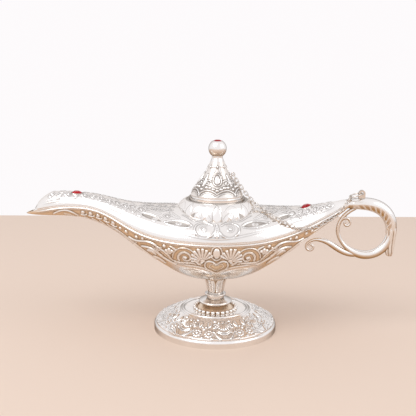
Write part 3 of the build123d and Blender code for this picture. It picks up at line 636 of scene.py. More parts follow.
# In the patterns below a form is given by its points, then its half width and its height, in millimetres.
def bowl_carving():
    """Ornament of the lower bowl: place along the lamp, distance down from the seam."""
    carved = Carving((-129, 89), (0, 57), 0.22)
    carved.oval((0, 6.2), 2.3, 3.6, 1.1, 0.4)
    carved.ring((0, 6.2), 3.5, 4.8, 0.42, 0.85)
    for side in (1, -1):
        carved.fan((side * 8.8, 11.6), -90 + side * 20, 156, 9.8, 9, 0.9)
        carved.band(flipped(((0, 23.4), (3.4, 21.2), (6.4, 18.2), (7.4, 14.8), (6.2, 12.3), (3.8, 11.9),
                             (1.5, 13.1), (0.1, 14.6)), side), 0.52, 0.95)
        carved.band(flipped(((0, 20.6), (2.9, 18.4), (4.5, 16.0), (3.2, 14.2), (0.8, 15.6)), side),
                    0.36, 0.6)
        carved.bead((side * 9.6, 13.4), 1.0, 0.8)
        carved.blade(flipped(((9.4, 15.4), (12.2, 13.4), (14.2, 10.2)), side), 0.9, 0.75)
        twin_scroll(carved, side, (19.6, 10.2), 4.9, 1.2, 30, -430, 0.78, 1.0)
        carved.band(flipped(((13.6, 9.0), (15.2, 5.2), (19.4, 3.4), (24, 4.2), (27.0, 7.4), (27.8, 11.4)),
                            side), 0.42, 0.75)
        carved.blade(flipped(((27.6, 13.8), (22, 15.0), (16, 14.2), (11.8, 15.8)), side), 0.9, 0.85)
        carved.blade(flipped(((25.4, 6.0), (27.6, 4.2), (30.4, 3.4)), side), 0.7, 0.7)
        carved.leaf(flipped(((28.0, 15.2), (32.2, 11.6), (37.0, 7.6), (42.6, 4.4)), side), 2.7, 0.95, 5,
                    hollowed)
        carved.band(flipped(((56.5, 7.6), (52.0, 7.2), (47.0, 5.0), (42.6, 4.0), (38.6, 4.9)), side),
                    0.74, 1.0)
        twin_scroll(carved, side, (37.2, 6.4), 2.0, 0.7, 200, -330, 0.7, 1.0)
        carved.band(flipped(((48.0, 10.4), (44.0, 8.6), (40.0, 9.0), (36.0, 11.8), (30.6, 15.2),
                             (26.0, 17.4)), side), 0.85, 1.05)
        carved.blade(flipped(((44.6, 12.4), (41.6, 11.2), (38.4, 13.4)), side), 1.4, 0.95, swollen)
        carved.blade(flipped(((40.6, 16.6), (36.4, 17.4), (32.4, 20.0)), side), 1.6, 0.95, swollen)
        carved.band(flipped(((60.0, 10.8), (55.0, 11.2), (50.4, 13.6), (44.6, 17.0), (39.0, 20.6)), side),
                    0.8, 1.0)
        carved.blade(flipped(((54.6, 14.6), (51.0, 16.2), (47.4, 19.0)), side), 1.4, 0.95, swollen)
        carved.fan((side * 29.6, 8.4), -90 + side * 32, 140, 4.7, 4, 0.95)
        for x, down, radius in ((51.6, 4.2, 1.15), (47.4, 3.3, 0.9), (33.2, 4.0, 1.2), (58.6, 4.4, 1.1),
                                (62.6, 4.6, 1.0)):
            carved.bead((side * x, down), radius, 0.9)
        carved.band(flipped(((20, 22.0), (13, 20.6), (7, 22.4), (3, 25.8)), side), 0.4, 0.95)
    tail_wave = [(x, 4.6 + 1.3 * math.sin((x - 60) / 3.1)) for x in np.arange(64, 82.5, 1.55)]
    carved.band(tail_wave, tapered(0.6, 0.4), 0.75)
    for spot in range(4):
        x = 66 + 4 * spot
        carved.leaf(((x, 7.6 - 0.9 * spot), (x + 3.4, 5.2 - 0.7 * spot)), 0.9, 0.6, 3)
    carved.band(((-108, 4.4), (-104, 2.9), (-99.6, 2.7), (-95.6, 4.4), (-92, 7.2)), 0.6, 0.85)
    carved.leaf(((-101.6, 5.2), (-97.6, 7.4), (-93.2, 9.8)), 1.3, 0.7, 4)
    for spot in range(5):
        x = -88.4 + 5.2 * spot
        carved.bead((x, 4.0), 1.35, 0.95)
        carved.band(((x - 1.2, 5.6), (x + 0.8, 6.1), (x + 2.4, 5.2)), 0.5, 0.85)
        carved.blade(((x + 0.4, 8.4), (x + 2.4, 9.8), (x + 5.2, 11.4)), 0.9, 0.8)
    carved.band(((-88, 9.4), (-80, 12.2), (-70, 15.6), (-60, 18.6), (-50, 20.6)), 0.5, 0.85)
    carved.band(((-70, 10.4), (-64, 9.2), (-58, 10.2), (-52, 9.6)), tapered(1.3, 0.7), 0.85, ribbon)
    carved.leaf(((-72, 13.4), (-64, 14.0), (-54, 13.8)), 1.3, 0.7, 6)
    bottom_rise, flute_depth, flutes, stem_down = 0.55, 0.12, 14, 53.8
    lip_rise, lip_half = 0.95, 0.5
    rail_at, rail_half, rail_rise = 1.05, 0.75, 0.75
    cord_at, cord_half, cord_rise = 2.25, 0.3, 0.4
    distance = carved.across[None, :]
    along = carved.along[:, None]
    beyond = distance - lower_edge(along)
    middle = 1 - smooth(np.abs(along), 22, 34)
    heading = np.arctan2(stem_down - distance, np.abs(along) + 0.01)
    plain = (bottom_rise + flute_depth * np.cos(flutes * heading)) * smooth(beyond, 0.2, 2.4) * middle
    lip = lip_rise * np.exp(-(beyond / lip_half) ** 2) * (1 - smooth(np.abs(along), 24, 34))
    rail = rail_rise * rounded((distance - rail_at) / rail_half, 0)
    cord = cord_rise * rounded((distance - cord_at) / cord_half, 0)
    for form in (plain, lip, rail + cord):
        carved.height = np.maximum(carved.height, form)
    return carved


def vine(carved, start, end, middle, swing, wave, side):
    """A running scroll: a waving stem with a volute and a leaf in every half wave."""
    count = max(2, int(round(abs(end - start) / wave)))
    pace = (end - start) / count
    stem = []
    for k in range(4 * count + 1):
        x = start + pace * k / 4
        stem.append((x, middle(x) + swing(x) * math.sin(math.pi * k / 4)))
    carved.band(stem, tapered(0.42, 0.32), 0.42)
    for k in range(count):
        x = start + pace * (k + 0.5)
        turn = 1 if k % 2 == 0 else -1
        reach = swing(x)
        hub = (x, middle(x) - 0.15 * turn * reach)
        carved.scroll(hub, 0.72 * reach, 0.2 * reach, 90 * turn + side * 40, -side * turn * 430,
                      0.12 * reach + 0.12, 0.48)
        tip = (x + 0.34 * pace, middle(x) - 1.3 * turn * reach)
        carved.leaf(((x - 0.1 * pace, middle(x) - 0.9 * turn * reach), tip), 0.3 * reach, 0.4, 3)


border_line = guide_line(((-123, 3.2), (-112, 3.6), (-96, 4.0), (-79, 4.2), (-62, 6.6), (-49, 7.8),
                          (-38, 7.2), (-25, 6.0), (-10, 3.8), (0, 3.1), (10, 3.8), (25, 6.0), (38, 7.2),
                          (49, 7.8), (62, 5.8), (78, 4.2), (89, 3.6)))


def cover_carving():
    """The cover's ornament, hollows and low bosses: place along the lamp, distance up from the seam."""
    carved, hollows, bosses = (Carving((-123, 89), (0, 46), 0.24) for _ in range(3))
    for side in (1, -1):
        carved.ring((side * 7.8, 9.2), 6.3, 5.6, 0.42, 0.5, 90 + side * 55, -side * 305)
        twin_scroll(carved, side, (8.2, 9.6), 3.2, 0.8, 120, -380, 0.4, 0.35)
        carved.band(flipped(((4.6, 16.0), (10, 17.6), (14.4, 16.4), (17.6, 18.6), (22, 22)), side),
                    0.4, 0.45)
        carved.band(flipped(((16, 12), (20.5, 15.2), (26.5, 15.2), (33.4, 12.2)), side), 0.42, 0.48)
        carved.band(flipped(((16.6, 10.8), (24, 9.6), (32.4, 11.4)), side), 0.36, 0.4)
        hollows.blade(flipped(((17.6, 11.8), (24.4, 12.9), (31.6, 12.2)), side), 2.1, 0.5, rounded)
        carved.bead((side * 24.4, 12.7), 1.2, 0.4)
        hollows.blade(flipped(((48.6, 13.6), (42, 13.8), (35.4, 12.4)), side), 2.1, 0.55, rounded)
        carved.band(flipped(((49.6, 14.4), (42.4, 16.6), (35.2, 15.0)), side), 0.4, 0.45)
        carved.rosette((side * 40.4, 12.4), 2.2, 7, 0.35)
        twin_scroll(carved, side, (32.0, 18.2), 3.0, 0.8, 160, -420, 0.45, 0.42)
        carved.leaf(flipped(((24, 18), (28.6, 21.6), (30, 26)), side), 1.7, 0.42, 4)
        carved.leaf(flipped(((36.5, 19.6), (41, 21.4), (46.6, 20.8)), side), 1.5, 0.4, 4)
        for x, up, radius, rise in ((7.3, 10.2, 4.4, 0.7), (24.4, 12.7, 3.0, 0.6), (32.0, 18.2, 3.0, 0.6),
                                    (40.4, 12.4, 3.2, 0.6)):
            bosses.cap((side * x, up), radius, rise)
    bud_radius, bud_rise = 2.4, 0.5
    for end, buds in ((-128, ((0.41, 12.0), (0.49, 11.4), (0.57, 9.4), (0.65, 8.6), (0.82, 8.4))),
                      (hull_end, ((0.6, 11.0), (0.73, 8.2)))):
        for share, up in buds:
            bosses.cap((end * share, up), bud_radius, bud_rise)
    carved.blade(((0, 3.4), (0, 8.6), (0, 14.0)), 1.4, 0.5)
    vine(carved, 47, 78, lambda x: 0.55 * deck_reach(x) + 0.8, lambda x: 0.24 * deck_reach(x), 5.4, 1)
    vine(carved, -47, -112, lambda x: 0.62 * deck_reach(x) + 0.4, lambda x: 0.2 * deck_reach(x), 5.4, -1)
    for side in (1, -1):
        vine(carved, side * 29, side * 48, lambda x: 0.7 * deck_reach(x), lambda x: 2.4, 4.6, side)
        vine(carved, side * 27, side * 50, lambda x: 0.88 * deck_reach(x), lambda x: 2.2, 4.6, side)
    line_rise, line_half = 0.3, 0.3
    inside = carved.across[None, :] - border_line(carved.along)[:, None]
    carved.height = (carved.height - hollows.height) * smooth(inside, 0, 0.9)
    line = line_rise * np.exp(-(inside / line_half) ** 2)
    carved.height = np.where(inside < 0.6, np.maximum(carved.height, line), carved.height)
    return carved, hollows, bosses


def deck_reach(x):
    """Length of the cover's section from the seam to the ridge."""
    fine = np.linspace(0, math.pi / 2, 40)
    places = deck_points(np.array([float(x)])[:, None], fine[None, :])[0]
    return float(run_along(places)[-1])


tail_gap = 0.4
hull_rows = 560


def make_bowl_skin():
    """The bowl's two carved halves."""
    pad_radius, pad_clear, stem_radius = 7.6, 9.6, 6.4
    x = np.linspace(hull_start, hull_end - tail_gap, hull_rows)
    grid, distance = section_grid(hull_points, x, 301)
    carved = bowl_carving()
    along = np.broadcast_to(x[:, None], distance.shape)
    heights = carved.at(carved.height, along, distance)
    # Painted shade in the creases beside the relief.
    creases = carved.at(carved.grooves(0.6, 0.24), along, distance)
    from_stem = np.hypot(grid[..., 0], grid[..., 1])
    off_pad = smooth(from_stem, pad_radius, pad_clear)
    clear = within(x, -126, -112, 80, 87)[:, None] * off_pad
    sink = lifted(smooth(distance, 0.2, 0.9), 0.3, 0.7)
    sink = sink - 0.6 * (1 - off_pad) - 0.5 * smooth(x, 85, 87.6)[:, None]
    lay_skin_in_halves("bowl_relief", grid, heights * clear, creases * clear, sink, bowl_silver,
                       from_stem < stem_radius, -1)


def make_cover_skin():
    """The cover's two carved halves, with room for the stones, the dome and the chain."""
    stones, stone_edge, stone_clear, dome_radius = (-93.8, 60.0), 4.6, 5.8, 24.6
    x = np.linspace(hood_start, hull_end - tail_gap, hull_rows)
    grid, distance = section_grid(deck_points, x, 241)
    carved, hollows, bosses = cover_carving()
    along = np.broadcast_to(x[:, None], distance.shape)
    heights = carved.at(carved.height, along, distance)
    # Painted shade in the creases beside the relief and in the leaf hollows.
    creases = carved.at(carved.grooves(0.45, 0.1), along, distance)
    creases = creases + 0.7 * hollows.at(hollows.height, along, distance)
    boss = bosses.at(bosses.height, along, distance)
    inside = smooth(distance - border_line(x)[:, None], 0.0, 1.6)
    clear = within(x, -118, -108, 76, 80)[:, None] * clear_of_chain(grid)
    heights = heights * clear
    creases = creases * clear
    swelling = np.maximum(boss, 0.5 * inside)
    swelling = np.where(boss > 0.02, swelling, swelling * clear)
    sink = lifted(smooth(distance, 0.1, 0.8), 0.3, 0.7)
    sink = sink - 0.6 * (1 - within(x, hood_start, hood_start + 2.0, 85, 87.6))[:, None]
    for stone in stones:
        away = np.hypot(grid[..., 0] - stone, grid[..., 1])
        heights = heights * smooth(away, stone_edge, stone_clear)
        swelling = swelling * smooth(away, stone_edge, stone_clear)
        sink = sink - 0.5 * (1 - smooth(away, stone_edge - 0.6, stone_edge))
    in_dome = np.hypot(grid[..., 0], grid[..., 1]) < dome_radius
    lay_skin_in_halves("cover_relief", grid, heights, creases, sink + swelling, cover_silver, in_dome, 1)


def turned_grid(profile, rows):
    """Points of a turned surface, with each one's angle from the front and its run along the profile."""
    front = -90
    angle = np.linspace(0, 360, rows, endpoint=False)[:, None]
    turn = np.radians(front + angle)
    radius, level = profile.T
    grid = np.stack(np.broadcast_arrays(radius * np.cos(turn), radius * np.sin(turn), level), axis=-1)
    return grid, np.broadcast_to(angle, grid.shape[:2]), run_along(profile)


def unrolled(unroll, top, step):
    """An empty carving over a turned surface laid flat, a little longer than one turn."""
    overlap, margin = 20, 1
    return Carving((-overlap, 360 * unroll + overlap), (-margin, top + margin), step)


def make_dome_skin():
    """The dome between the cover and the lid, with outlined leaves and small hollows."""
    foot_radius, foot_level = 27.0, 79.0
    neck_radius, neck_level = 19.4, 90.3
    rise = np.radians(np.linspace(-6, 84, 60))
    profile = np.stack([neck_radius + (foot_radius - neck_radius) * np.cos(rise),
                        foot_level + (neck_level - foot_level) * np.sin(rise)], axis=1)
    grid, angle, run = turned_grid(profile, 480)
    unroll = math.radians(1) * 24.0
    top = run[-1]
    raised, engraved = (unrolled(unroll, top, 0.22) for _ in range(2))
    for sector in range(-1, 9):
        at = sector * 45 * unroll
        leaf_rise, line_depth = (0.3, 0.25) if sector % 2 == 0 else (0.18, 0.14)
        raised.blade(((at, 0.3), (at, top * 0.42), (at, top * 0.86)), 2.3, leaf_rise, rounded)
        for side in (1, -1):
            engraved.band(flipped(((1.6, 0.3), (2.7, top * 0.34), (2.0, top * 0.64), (0, top * 0.92)),
                                  side, at), 0.3, line_depth)
            engraved.band(flipped(((3.6, 0.4), (5.0, top * 0.4), (7.4, top * 0.5), (9.4, top * 0.24)),
                                  side, at), 0.26, 0.16)
            engraved.band(flipped(((4.2, top * 0.56), (6.6, top * 0.74), (9.4, top * 0.84)), side, at),
                          0.24, 0.13)
            raised.blade(flipped(((5.2, top * 0.1), (6.6, top * 0.34), (8.6, top * 0.2)), side, at),
                         0.9, 0.22, rounded)
    for quarter in range(-1, 5):
        for side in (1, -1):
            at = (90 * quarter + side * 39) * unroll
            engraved.blade(flipped(((2.2, 0.8), (0, top * 0.2), (-2.6, top * 0.46)), side, at),
                           1.5, 0.3, rounded)
    raised.height = raised.height - engraved.height
    clear = clear_of_chain(grid)
    # Painted shade in the creases and the engraved lines.
    crease_shade_share = 0.4 * raised.grooves(0.45, 0.12) + 2.2 * engraved.height
    edge = within(run, 0, 0.8, top - 1.6, top)
    heights = raised.at(raised.height, angle * unroll, run) * clear * edge
    creases = raised.at(crease_shade_share, angle * unroll, run) * clear * edge
    lay_skin("dome_relief", grid, heights, creases, lifted(edge, 0.3, 0.65), cover_silver, "lamp")


def make_lid_skin():
    """The lid's bell: oval jewels with swags of beads, scallops and scrolls between them."""
    bell = ((17.6, 91.95), (16.0, 96.15), (11.7, 102.35), (5.6, 112.75), (4.3, 116.15))
    grid, angle, run = turned_grid(curve_through(bell, 96), 360)
    unroll = math.radians(1) * 11.0
    top = run[-1]
    eye_sector, jewel_up, collar_down = 1, 14.5, 4.1
    carved = unrolled(unroll, top, 0.18)
    for sector in range(-1, 6):
        at = sector * 90 * unroll
        if sector % 4 != eye_sector:
            carved.oval((at, jewel_up), 1.9, 3.3, 0.9, 0.4)
            carved.ring((at, jewel_up), 2.8, 4.3, 0.36, 0.65)
        for eighth in (0, 1):
            carved.bead((at + 45 * unroll * eighth, top - collar_down), 0.95, 0.55)
        for rung in range(5):
            carved.bead((at + 45 * unroll, 7.2 + 2.6 * rung), 0.85 - 0.06 * rung, 0.6)
        for side in (1, -1):
            for bead, (dx, dy) in enumerate(((0.0, 6.6), (2.0, 7.7), (3.9, 8.6), (5.9, 8.7))):
                carved.bead((at + side * dx, dy), 0.8 + 0.06 * bead, 0.7)
            carved.band(flipped(((0, 4.0), (2.1, 6.0), (4.8, 6.7), (7.1, 5.6), (8.6, 2.6)), side, at),
                        0.34, 0.55)
            carved.band(flipped(((0, 2.6), (2.6, 4.6), (5.2, 4.9), (7.4, 3.0)), side, at), 0.26, 0.32)
            carved.scroll((at + side * 5.9, 12.0), 2.2, 0.6, 90 + side * 60, -side * 430, 0.38, 0.55)
            carved.bead((at + side * 3.4, 16.8), 0.7, 0.45)
            carved.bead((at + side * 1.6, 18.2), 0.55, 0.4)
            carved.blade(flipped(((8.6, 9.6), (8.5, 14.0), (8.0, 18.6)), side, at), 0.8, 0.45)
            carved.blade(flipped(((3.4, 19.4), (2.6, 21.6), (2.4, 24.0)), side, at), 0.6, 0.35)
    clear = clear_of_chain(grid)
    edge = within(run, 0.2, 1.0, top - 0.8, top - 0.1)
    rim_line = 0.3 * np.exp(-((run - 1.9) / 0.3) ** 2)
    collar_line = 0.4 * np.exp(-((run - top + collar_down) / 0.4) ** 2)
    heights = carved.at(carved.height, angle * unroll, run) * clear
    heights = np.maximum(heights, rim_line + collar_line) * edge
    # Painted shade in the creases beside the relief.
    creases = carved.at(carved.grooves(0.5, 0.07), angle * unroll, run) * clear * edge
    lay_skin("lid_relief", grid, heights, creases, lifted(edge, 0.14, 0.5), lid_silver, "lid")


def around(heading, side, *points):
    """Places seen from above: distances out along a heading and aside of it, mirrored for side -1."""
    turn = math.radians(heading)
    out = np.array((math.cos(turn), math.sin(turn)))
    aside = np.array((-math.sin(turn), math.cos(turn)))
    return [out * far + aside * side * off for far, off in points]


def make_foot_skin():
    """The foot's slope: shells, flower pairs, drops and leaf scrolls in eight fields."""
    rim_end, ring_foot, slope_share = np.array((40.94, 4.97)), np.array((23.1, 14.0)), 0.955
    fields, first_field, flower, shell_out = 8, -103, (35.4, 3.9), 31.2
    bow_bend = 0.12
    grain_rise, grain_pace = 0.05, 5.2
    profile = rim_end + (ring_foot - rim_end) * np.linspace(0.0, slope_share, 104)[:, None]
    grid, _, run = turned_grid(profile, 640)
    carved, bosses = (Carving((-43, 43), (-43, 43), 0.22) for _ in range(2))
    for field in range(fields):
        heading = first_field + 360 / fields * field
        between = heading + 180 / fields
        for side in (1, -1):
            bosses.cap(around(heading, side, flower)[0], 3.4, 0.7)
            carved.rosette(around(heading, side, flower)[0], 3.5, 9, 0.42)
            carved.scroll(around(heading, side, (29.4, 6.9))[0], 2.3, 0.6,
                          heading + side * 120, side * 420, 0.4, 0.5)
            carved.band(around(heading, side, (33.2, 6.4), (35.6, 9.0), (37.6, 12.2), (37.4, 15.0)),
                        0.45, 0.5)
            carved.leaf(around(heading, side, (34.6, 9.4), (36.6, 11.8), (38.4, 14.8)), 1.1, 0.45, 4)
            carved.blade(around(heading, side, (27.0, 2.7), (29.2, 3.0), (31.4, 2.9)), 1.2, 0.6, swollen)
            carved.blade(around(heading, side, (38.6, 5.6), (38.9, 8.4), (38.6, 11.4)), 0.8, 0.45)
            carved.blade(around(heading, side, (31.0, 9.6), (33.4, 8.4), (34.8, 8.6)), 0.7, 0.4)
            for spot, radius, rise in (((25.4, 5.6), 0.9, 0.45), ((25.8, 8.4), 0.75, 0.4),
                                       ((38.9, 0), 0.8, 0.4), ((32.4, 0), 0.9, 0.5),
                                       ((31.0, 1.1), 0.6, 0.4)):
                carved.bead(around(heading, side, spot)[0], radius, rise)
        bosses.cap(around(between, 1, (shell_out, 0))[0], 4.6, 0.7)
        carved.fan(around(between, 1, (27.0, 0))[0], between, 130, 6.6, 9, 0.45)
        for bow, half in ((35.0, 0.36), (36.2, 0.3)):
            bent = [(bow - bow_bend * s * s, s) for s in (-4.2, -2.1, 0, 2.1, 4.2)]
            carved.band(around(between, 1, *bent), half, 0.42)
    x, y = grid[..., 0], grid[..., 1]
    edge = within(run, 0.0, 1.0, run[-1] - 0.9, run[-1])
    ground = grain_rise * np.sin(grain_pace * x) * np.sin(grain_pace * y)
    heights = (carved.at(carved.height, x, y) + ground) * edge
    # Painted shade in the creases beside the relief.
    creases = 0.85 * carved.at(carved.grooves(0.34, 0.08), x, y) * edge
    swelling = np.maximum(bosses.at(bosses.height, x, y), 0.5 * edge)
    lay_skin("foot_relief", grid, heights, creases, lifted(edge, 0.16, 0.5) + swelling, foot_silver,
             "lamp")


def make_foot_trough():
    """The foot's trough and the neck above it, with a painted gold reflection and shade from the beads
    inwards.
    """
    inner, outer, level, sag = 12.75, 20.9, 14.0, 0.5
    beads, bead_circle, bead_shade_half = 26, 13.9, 1.6
    flat = np.linspace(outer, inner, 26)
    share = (flat - (inner + outer) / 2) / ((outer - inner) / 2)
    trough = np.stack([flat, level - sag * (1 - share ** 2)], axis=1)
    neck = np.linspace((12.4, 14.12), (7.8, 16.88), 16)
    profile = np.concatenate([trough, neck])
    grid, angle, run = turned_grid(profile, 180)
    radius = profile[:, 0]
    # Bare silver outside the beads; the inner part takes the gold colour as painted reflection and shade.
    bright = np.broadcast_to(0.55 * smooth(radius, 14.6, 15.8), grid.shape[:2])
    gap = 0.5 - 0.5 * np.cos(np.radians((angle - 90) * beads))
    # Painted shade between the beads.
    creases = 0.4 * gap * np.exp(-((radius - bead_circle) / bead_shade_half) ** 2)
    edge = within(run, 0, 0.6, run[-1] - 0.4, run[-1])
    lay_skin("foot_trough", grid, bright, creases, lifted(edge, 0.12, 0.3) - bright, stem_silver, "lamp")


def make_stem_skin():
    """The leaf cup above the stem's ring: upright leaves with a cut midrib."""
    waist, leaf_swell, cup = (5.0, 25.2), (5.7, 30.4), (7.2, 35.6)
    leaves, leaf_rise, shade_below = 6, 0.75, 0.35
    grid, angle, run = turned_grid(curve_through((waist, leaf_swell, cup), 60), 180)
    phase = np.mod(angle / 360 * leaves, 1.0) - 0.5
    part = (run / run[-1])[None, :]
    width = 0.5 * np.sqrt(np.sin(math.pi * np.clip(0.16 + 0.72 * part, 0, 1)))
    q = np.clip(phase / np.maximum(width, 0.05), -1, 1)
    edge = within(run, 0, 0.7, run[-1] - 0.7, run[-1])
    heights = leaf_rise * creased(q, part) * smooth(part, 0.0, 0.12)
    # Painted shade between the leaves, where they stay low.
    creases = np.clip(0.8 * (1 - heights / shade_below), 0, 1)
    lay_skin("stem_leaves", grid, heights * edge, creases * edge, lifted(edge, 0.1, 0.4), stem_silver,
             "lamp")


# The handle's arch: its middle line from the tail on, and its half height and half depth along it.
tail_end = (88.0, 87.9)
arch_points = ((0, 0), (6, 0.3), (12.4, 0.2), (20, -1.6), (26, -5.8), (29.4, -11.6), (30.4, -18),
               (30.3, -26), (31.2, -36))
arch_half_height = (3.0, 4.2, 0.7)
arch_half_depth = (4.6, 4.4, 0.7)
arch_facing = -1


def passing(values, part):
    """Smooth value along a run, through the values at its start, middle and end."""
    start, middle, end = values
    return (start * (1 - part) * (1 - 2 * part) + middle * 4 * part * (1 - part)
            + end * part * (2 * part - 1))


def arch_halves(part):
    """The arch's half height and half depth at parts of its run."""
    return np.stack([passing(arch_half_height, part), passing(arch_half_depth, part)])


def arch_grid(part, turns, halves):
    """Points round the handle's arch at parts of its run, and that run; turn 0 faces into the loop."""
    path = curve_through(arch_points, 600)
    every = np.linspace(0, 1, len(path))
    spot = np.stack([np.interp(part, every, column) for column in path.T], axis=1)
    lead = np.stack([np.interp(part, every, column) for column in np.gradient(path, axis=0).T], axis=1)
    lead = lead / np.linalg.norm(lead, axis=1, keepdims=True)
    inward = np.stack([lead[:, 1], -lead[:, 0]], axis=1)
    turn = np.radians(turns)[None, :]
    off = halves[0][:, None] * np.cos(turn)
    grid = np.stack([tail_end[0] + spot[:, :1] + inward[:, :1] * off, halves[1][:, None] * np.sin(turn),
                     tail_end[1] + spot[:, 1:] + inward[:, 1:] * off], axis=-1)
    return grid, part * run_along(path)[-1]


def make_arch_feathers():
    """The arch's inner side: slanting barbs on each face, with a plain ridge between them."""
    barb_pitch, slant, barb_rise = 4.2, 1.4, 0.5
    part = np.linspace(0.03, 0.76, 330)
    turns = np.linspace(-128, 128, 128)
    grid, run = arch_grid(part, turns, arch_halves(part))
    aside = np.abs(turns)[None, :]
    wave = np.abs(np.sin(math.pi * (run[:, None] / barb_pitch + slant * aside / 90)))
    ends = within(run, run[0] + 1, run[0] + 9, run[-1] - 7, run[-1])[:, None]
    field = within(aside, 30, 42, 76, 88) * ends
    heights = barb_rise * (wave ** 3 * field + 1 - field)
    # Painted shade between the barbs.
    creases = 0.7 * np.clip(0.7 - 3.0 * wave, 0, 1) * field
    edge = (1 - smooth(aside, 112, 128)) * within(run, run[0], run[0] + 2, run[-1] - 8, run[-1])[:, None]
    lay_skin("arch_feathers", grid, heights, creases, lifted(edge, -0.25, 0.55), handle_silver, "lamp",
             closed=False, facing=arch_facing)


def make_leaf_tip():
    """The leaf that the arch ends in: long blades side by side, hooked inwards and rounded off."""
    below_solid, end_share, hook, blade_rise = 0.35, 0.16, 0.9, 0.6
    blades, blade_start, blade_twist = 7, 20, 70
    turns = np.linspace(-180, 180, 127)[:-1]
    share = np.linspace(0, 1, 150)
    part = 0.6 + 0.4 * share
    grown = smooth(share, 0.0, 0.3)
    past = np.clip(share - (1 - end_share), 0, 1) / end_share
    rounded_off = np.sqrt(np.clip(1 - past ** 2, 0.0004, 1))
    solid = arch_halves(part)
    leaf = np.stack([3.2 - 0.7 * share, 3.1 - 1.4 * share])
    halves = solid - below_solid + grown * (np.maximum(leaf, solid) - solid + below_solid)
    grid, _ = arch_grid(part, turns, halves * rounded_off)
    grid[..., 0] -= (hook * share ** 3)[:, None]
    blade = np.abs(np.cos(np.radians(blades / 2 * (turns + blade_start)[:, None] + blade_twist * share)))
    carved_part = grown * rounded_off
    heights = blade_rise * blade ** 0.7 * carved_part
    # Painted shade between the blades.
    creases = np.clip(0.95 - 2.4 * blade, 0, 1) * carved_part
    lay_skin("leaf_tip", np.swapaxes(grid, 0, 1), heights, creases, -0.1 * rounded_off, handle_silver,
             "lamp", facing=-arch_facing)


# The chain, the ring and the stones stand where the frame has them.
def islands_of(node):
    """The separate solids of a node, each as an array of its corners in millimetres."""
    same_spot = 0.000001
    shape = bmesh.new()
    shape.from_mesh(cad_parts[node].data)
    bmesh.ops.remove_doubles(shape, verts=shape.verts, dist=same_spot)
    left = dict.fromkeys(shape.verts)
    parts = []
    while left:
        queue = [left.popitem()[0]]
        part = []
        while queue:
            vert = queue.pop()
            part.append(tuple(vert.co))
            for edge in vert.link_edges:
                other = edge.other_vert(vert)
                if other in left:
                    del left[other]
                    queue.append(other)
        parts.append(np.array(part) / MM)
    shape.free()
    return parts


def axes_of(points):
    """Middle of some points and their long, middle and short directions."""
    middle = (points.min(axis=0) + points.max(axis=0)) / 2
    _, ways = np.linalg.eigh(np.cov((points - points.mean(axis=0)).T))
    short_way, _, long_way = ways.T
    return middle, long_way, np.cross(short_way, long_way), short_way


def turned_to(middle, first, second, third):
    """Matrix that carries the local axes to three directions at a place, in metres."""
    turn = Matrix((first, second, third)).transposed().to_4x4()
    return Matrix.Translation(Vector(middle) * MM) @ turn


def wire_link(shape, place, half_run, bend, wire, steps, sides):
    """A closed loop of round wire, two half turns joined by straight runs."""
    on_middle = 1e-7
    start = Matrix.Translation((bend * MM, 0, 0)) @ Matrix.Rotation(math.pi / 2, 4, "X")
    made = bmesh.ops.create_circle(shape, segments=sides, radius=wire * MM, matrix=start)["verts"]
    edges = list(dict.fromkeys(edge for vert in made for edge in vert.link_edges))
    before = set(shape.verts) - set(made)
    bmesh.ops.spin(shape, geom=made + edges, cent=(0, 0, 0), axis=(0, 0, 1), angle=2 * math.pi,
                   steps=steps, use_merge=True)
    for vert in shape.verts:
        if vert not in before:
            if abs(vert.co.x) > on_middle:
                vert.co.x += math.copysign(half_run * MM, vert.co.x)
            vert.co = place @ vert.co


def make_chain(node, name):
    """The links of one chain run, in smooth round wire."""
    link_half_run, link_bend, link_wire = 0.825, 0.975, 0.3
    shape = bmesh.new()
    for points in islands_of(node):
        wire_link(shape, turned_to(*axes_of(points)), link_half_run, link_bend, link_wire, 18, 8)
    bmesh.ops.recalc_face_normals(shape, faces=shape.faces)
    piece = finish_piece(shape, name, wire_silver, None)
    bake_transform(piece)
    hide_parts(node)


chain_links = islands_of("chain_lid_run") + islands_of("chain_handle_run")
chain_spots = [axes_of(points)[0] for points in chain_links]


def clear_of_chain(grid):
    """0 under the chain and 1 a little away from it, so that the carving leaves it room."""
    under_chain, clear = 2.2, 3.6
    away = np.full(grid.shape[:2], np.inf)
    for spot in chain_spots:
        away = np.minimum(away, np.linalg.norm(grid - spot, axis=2))
    return smooth(away, under_chain, clear)


make_bowl_skin()
make_cover_skin()
make_dome_skin()
make_lid_skin()
make_foot_skin()
make_foot_trough()
make_stem_skin()
make_arch_feathers()
make_leaf_tip()

make_chain("chain_lid_run", "lid_chain")
make_chain("chain_handle_run", "handle_chain")


def make_handle_ring():
    """The wire ring in the handle's lug."""
    ring_radius, ring_wire = 4.2, 0.45
    points = islands_of("handle_ring")[0]
    shape = bmesh.new()
    wire_link(shape, turned_to(*axes_of(points)), 0.0, ring_radius, ring_wire, 48, 12)
    bmesh.ops.recalc_face_normals(shape, faces=shape.faces)
    piece = finish_piece(shape, "wire_ring", wire_silver, "ring")
    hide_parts("handle_ring")


def make_lid_eye():
    """The wire eye on its shank, at the lid's +X side."""
    eye_radius, eye_wire, shank_length, shank_in = 1.1, 0.35, 2.4, 1.3
    eye_centre = Vector((10.693, 0.0, 106.934))
    shank_way = Vector((0.8626, 0.0, 0.5059))
    shape = bmesh.new()
    place = turned_to(eye_centre, (1, 0, 0), (0, 0, -1), (0, 1, 0))
    wire_link(shape, place, 0.0, eye_radius, eye_wire, 28, 10)
    shank_middle = eye_centre - shank_way * (eye_radius + shank_in)
    turn = Vector((0, 0, 1)).rotation_difference(shank_way).to_matrix().to_4x4()
    bmesh.ops.create_cone(shape, cap_ends=True, segments=12, radius1=eye_wire * MM, radius2=eye_wire * MM,
                          depth=shank_length * MM, matrix=Matrix.Translation(shank_middle * MM) @ turn)
    bmesh.ops.recalc_face_normals(shape, faces=shape.faces)
    piece = finish_piece(shape, "wire_eye", wire_silver, "lid")
    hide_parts("lid_eye")


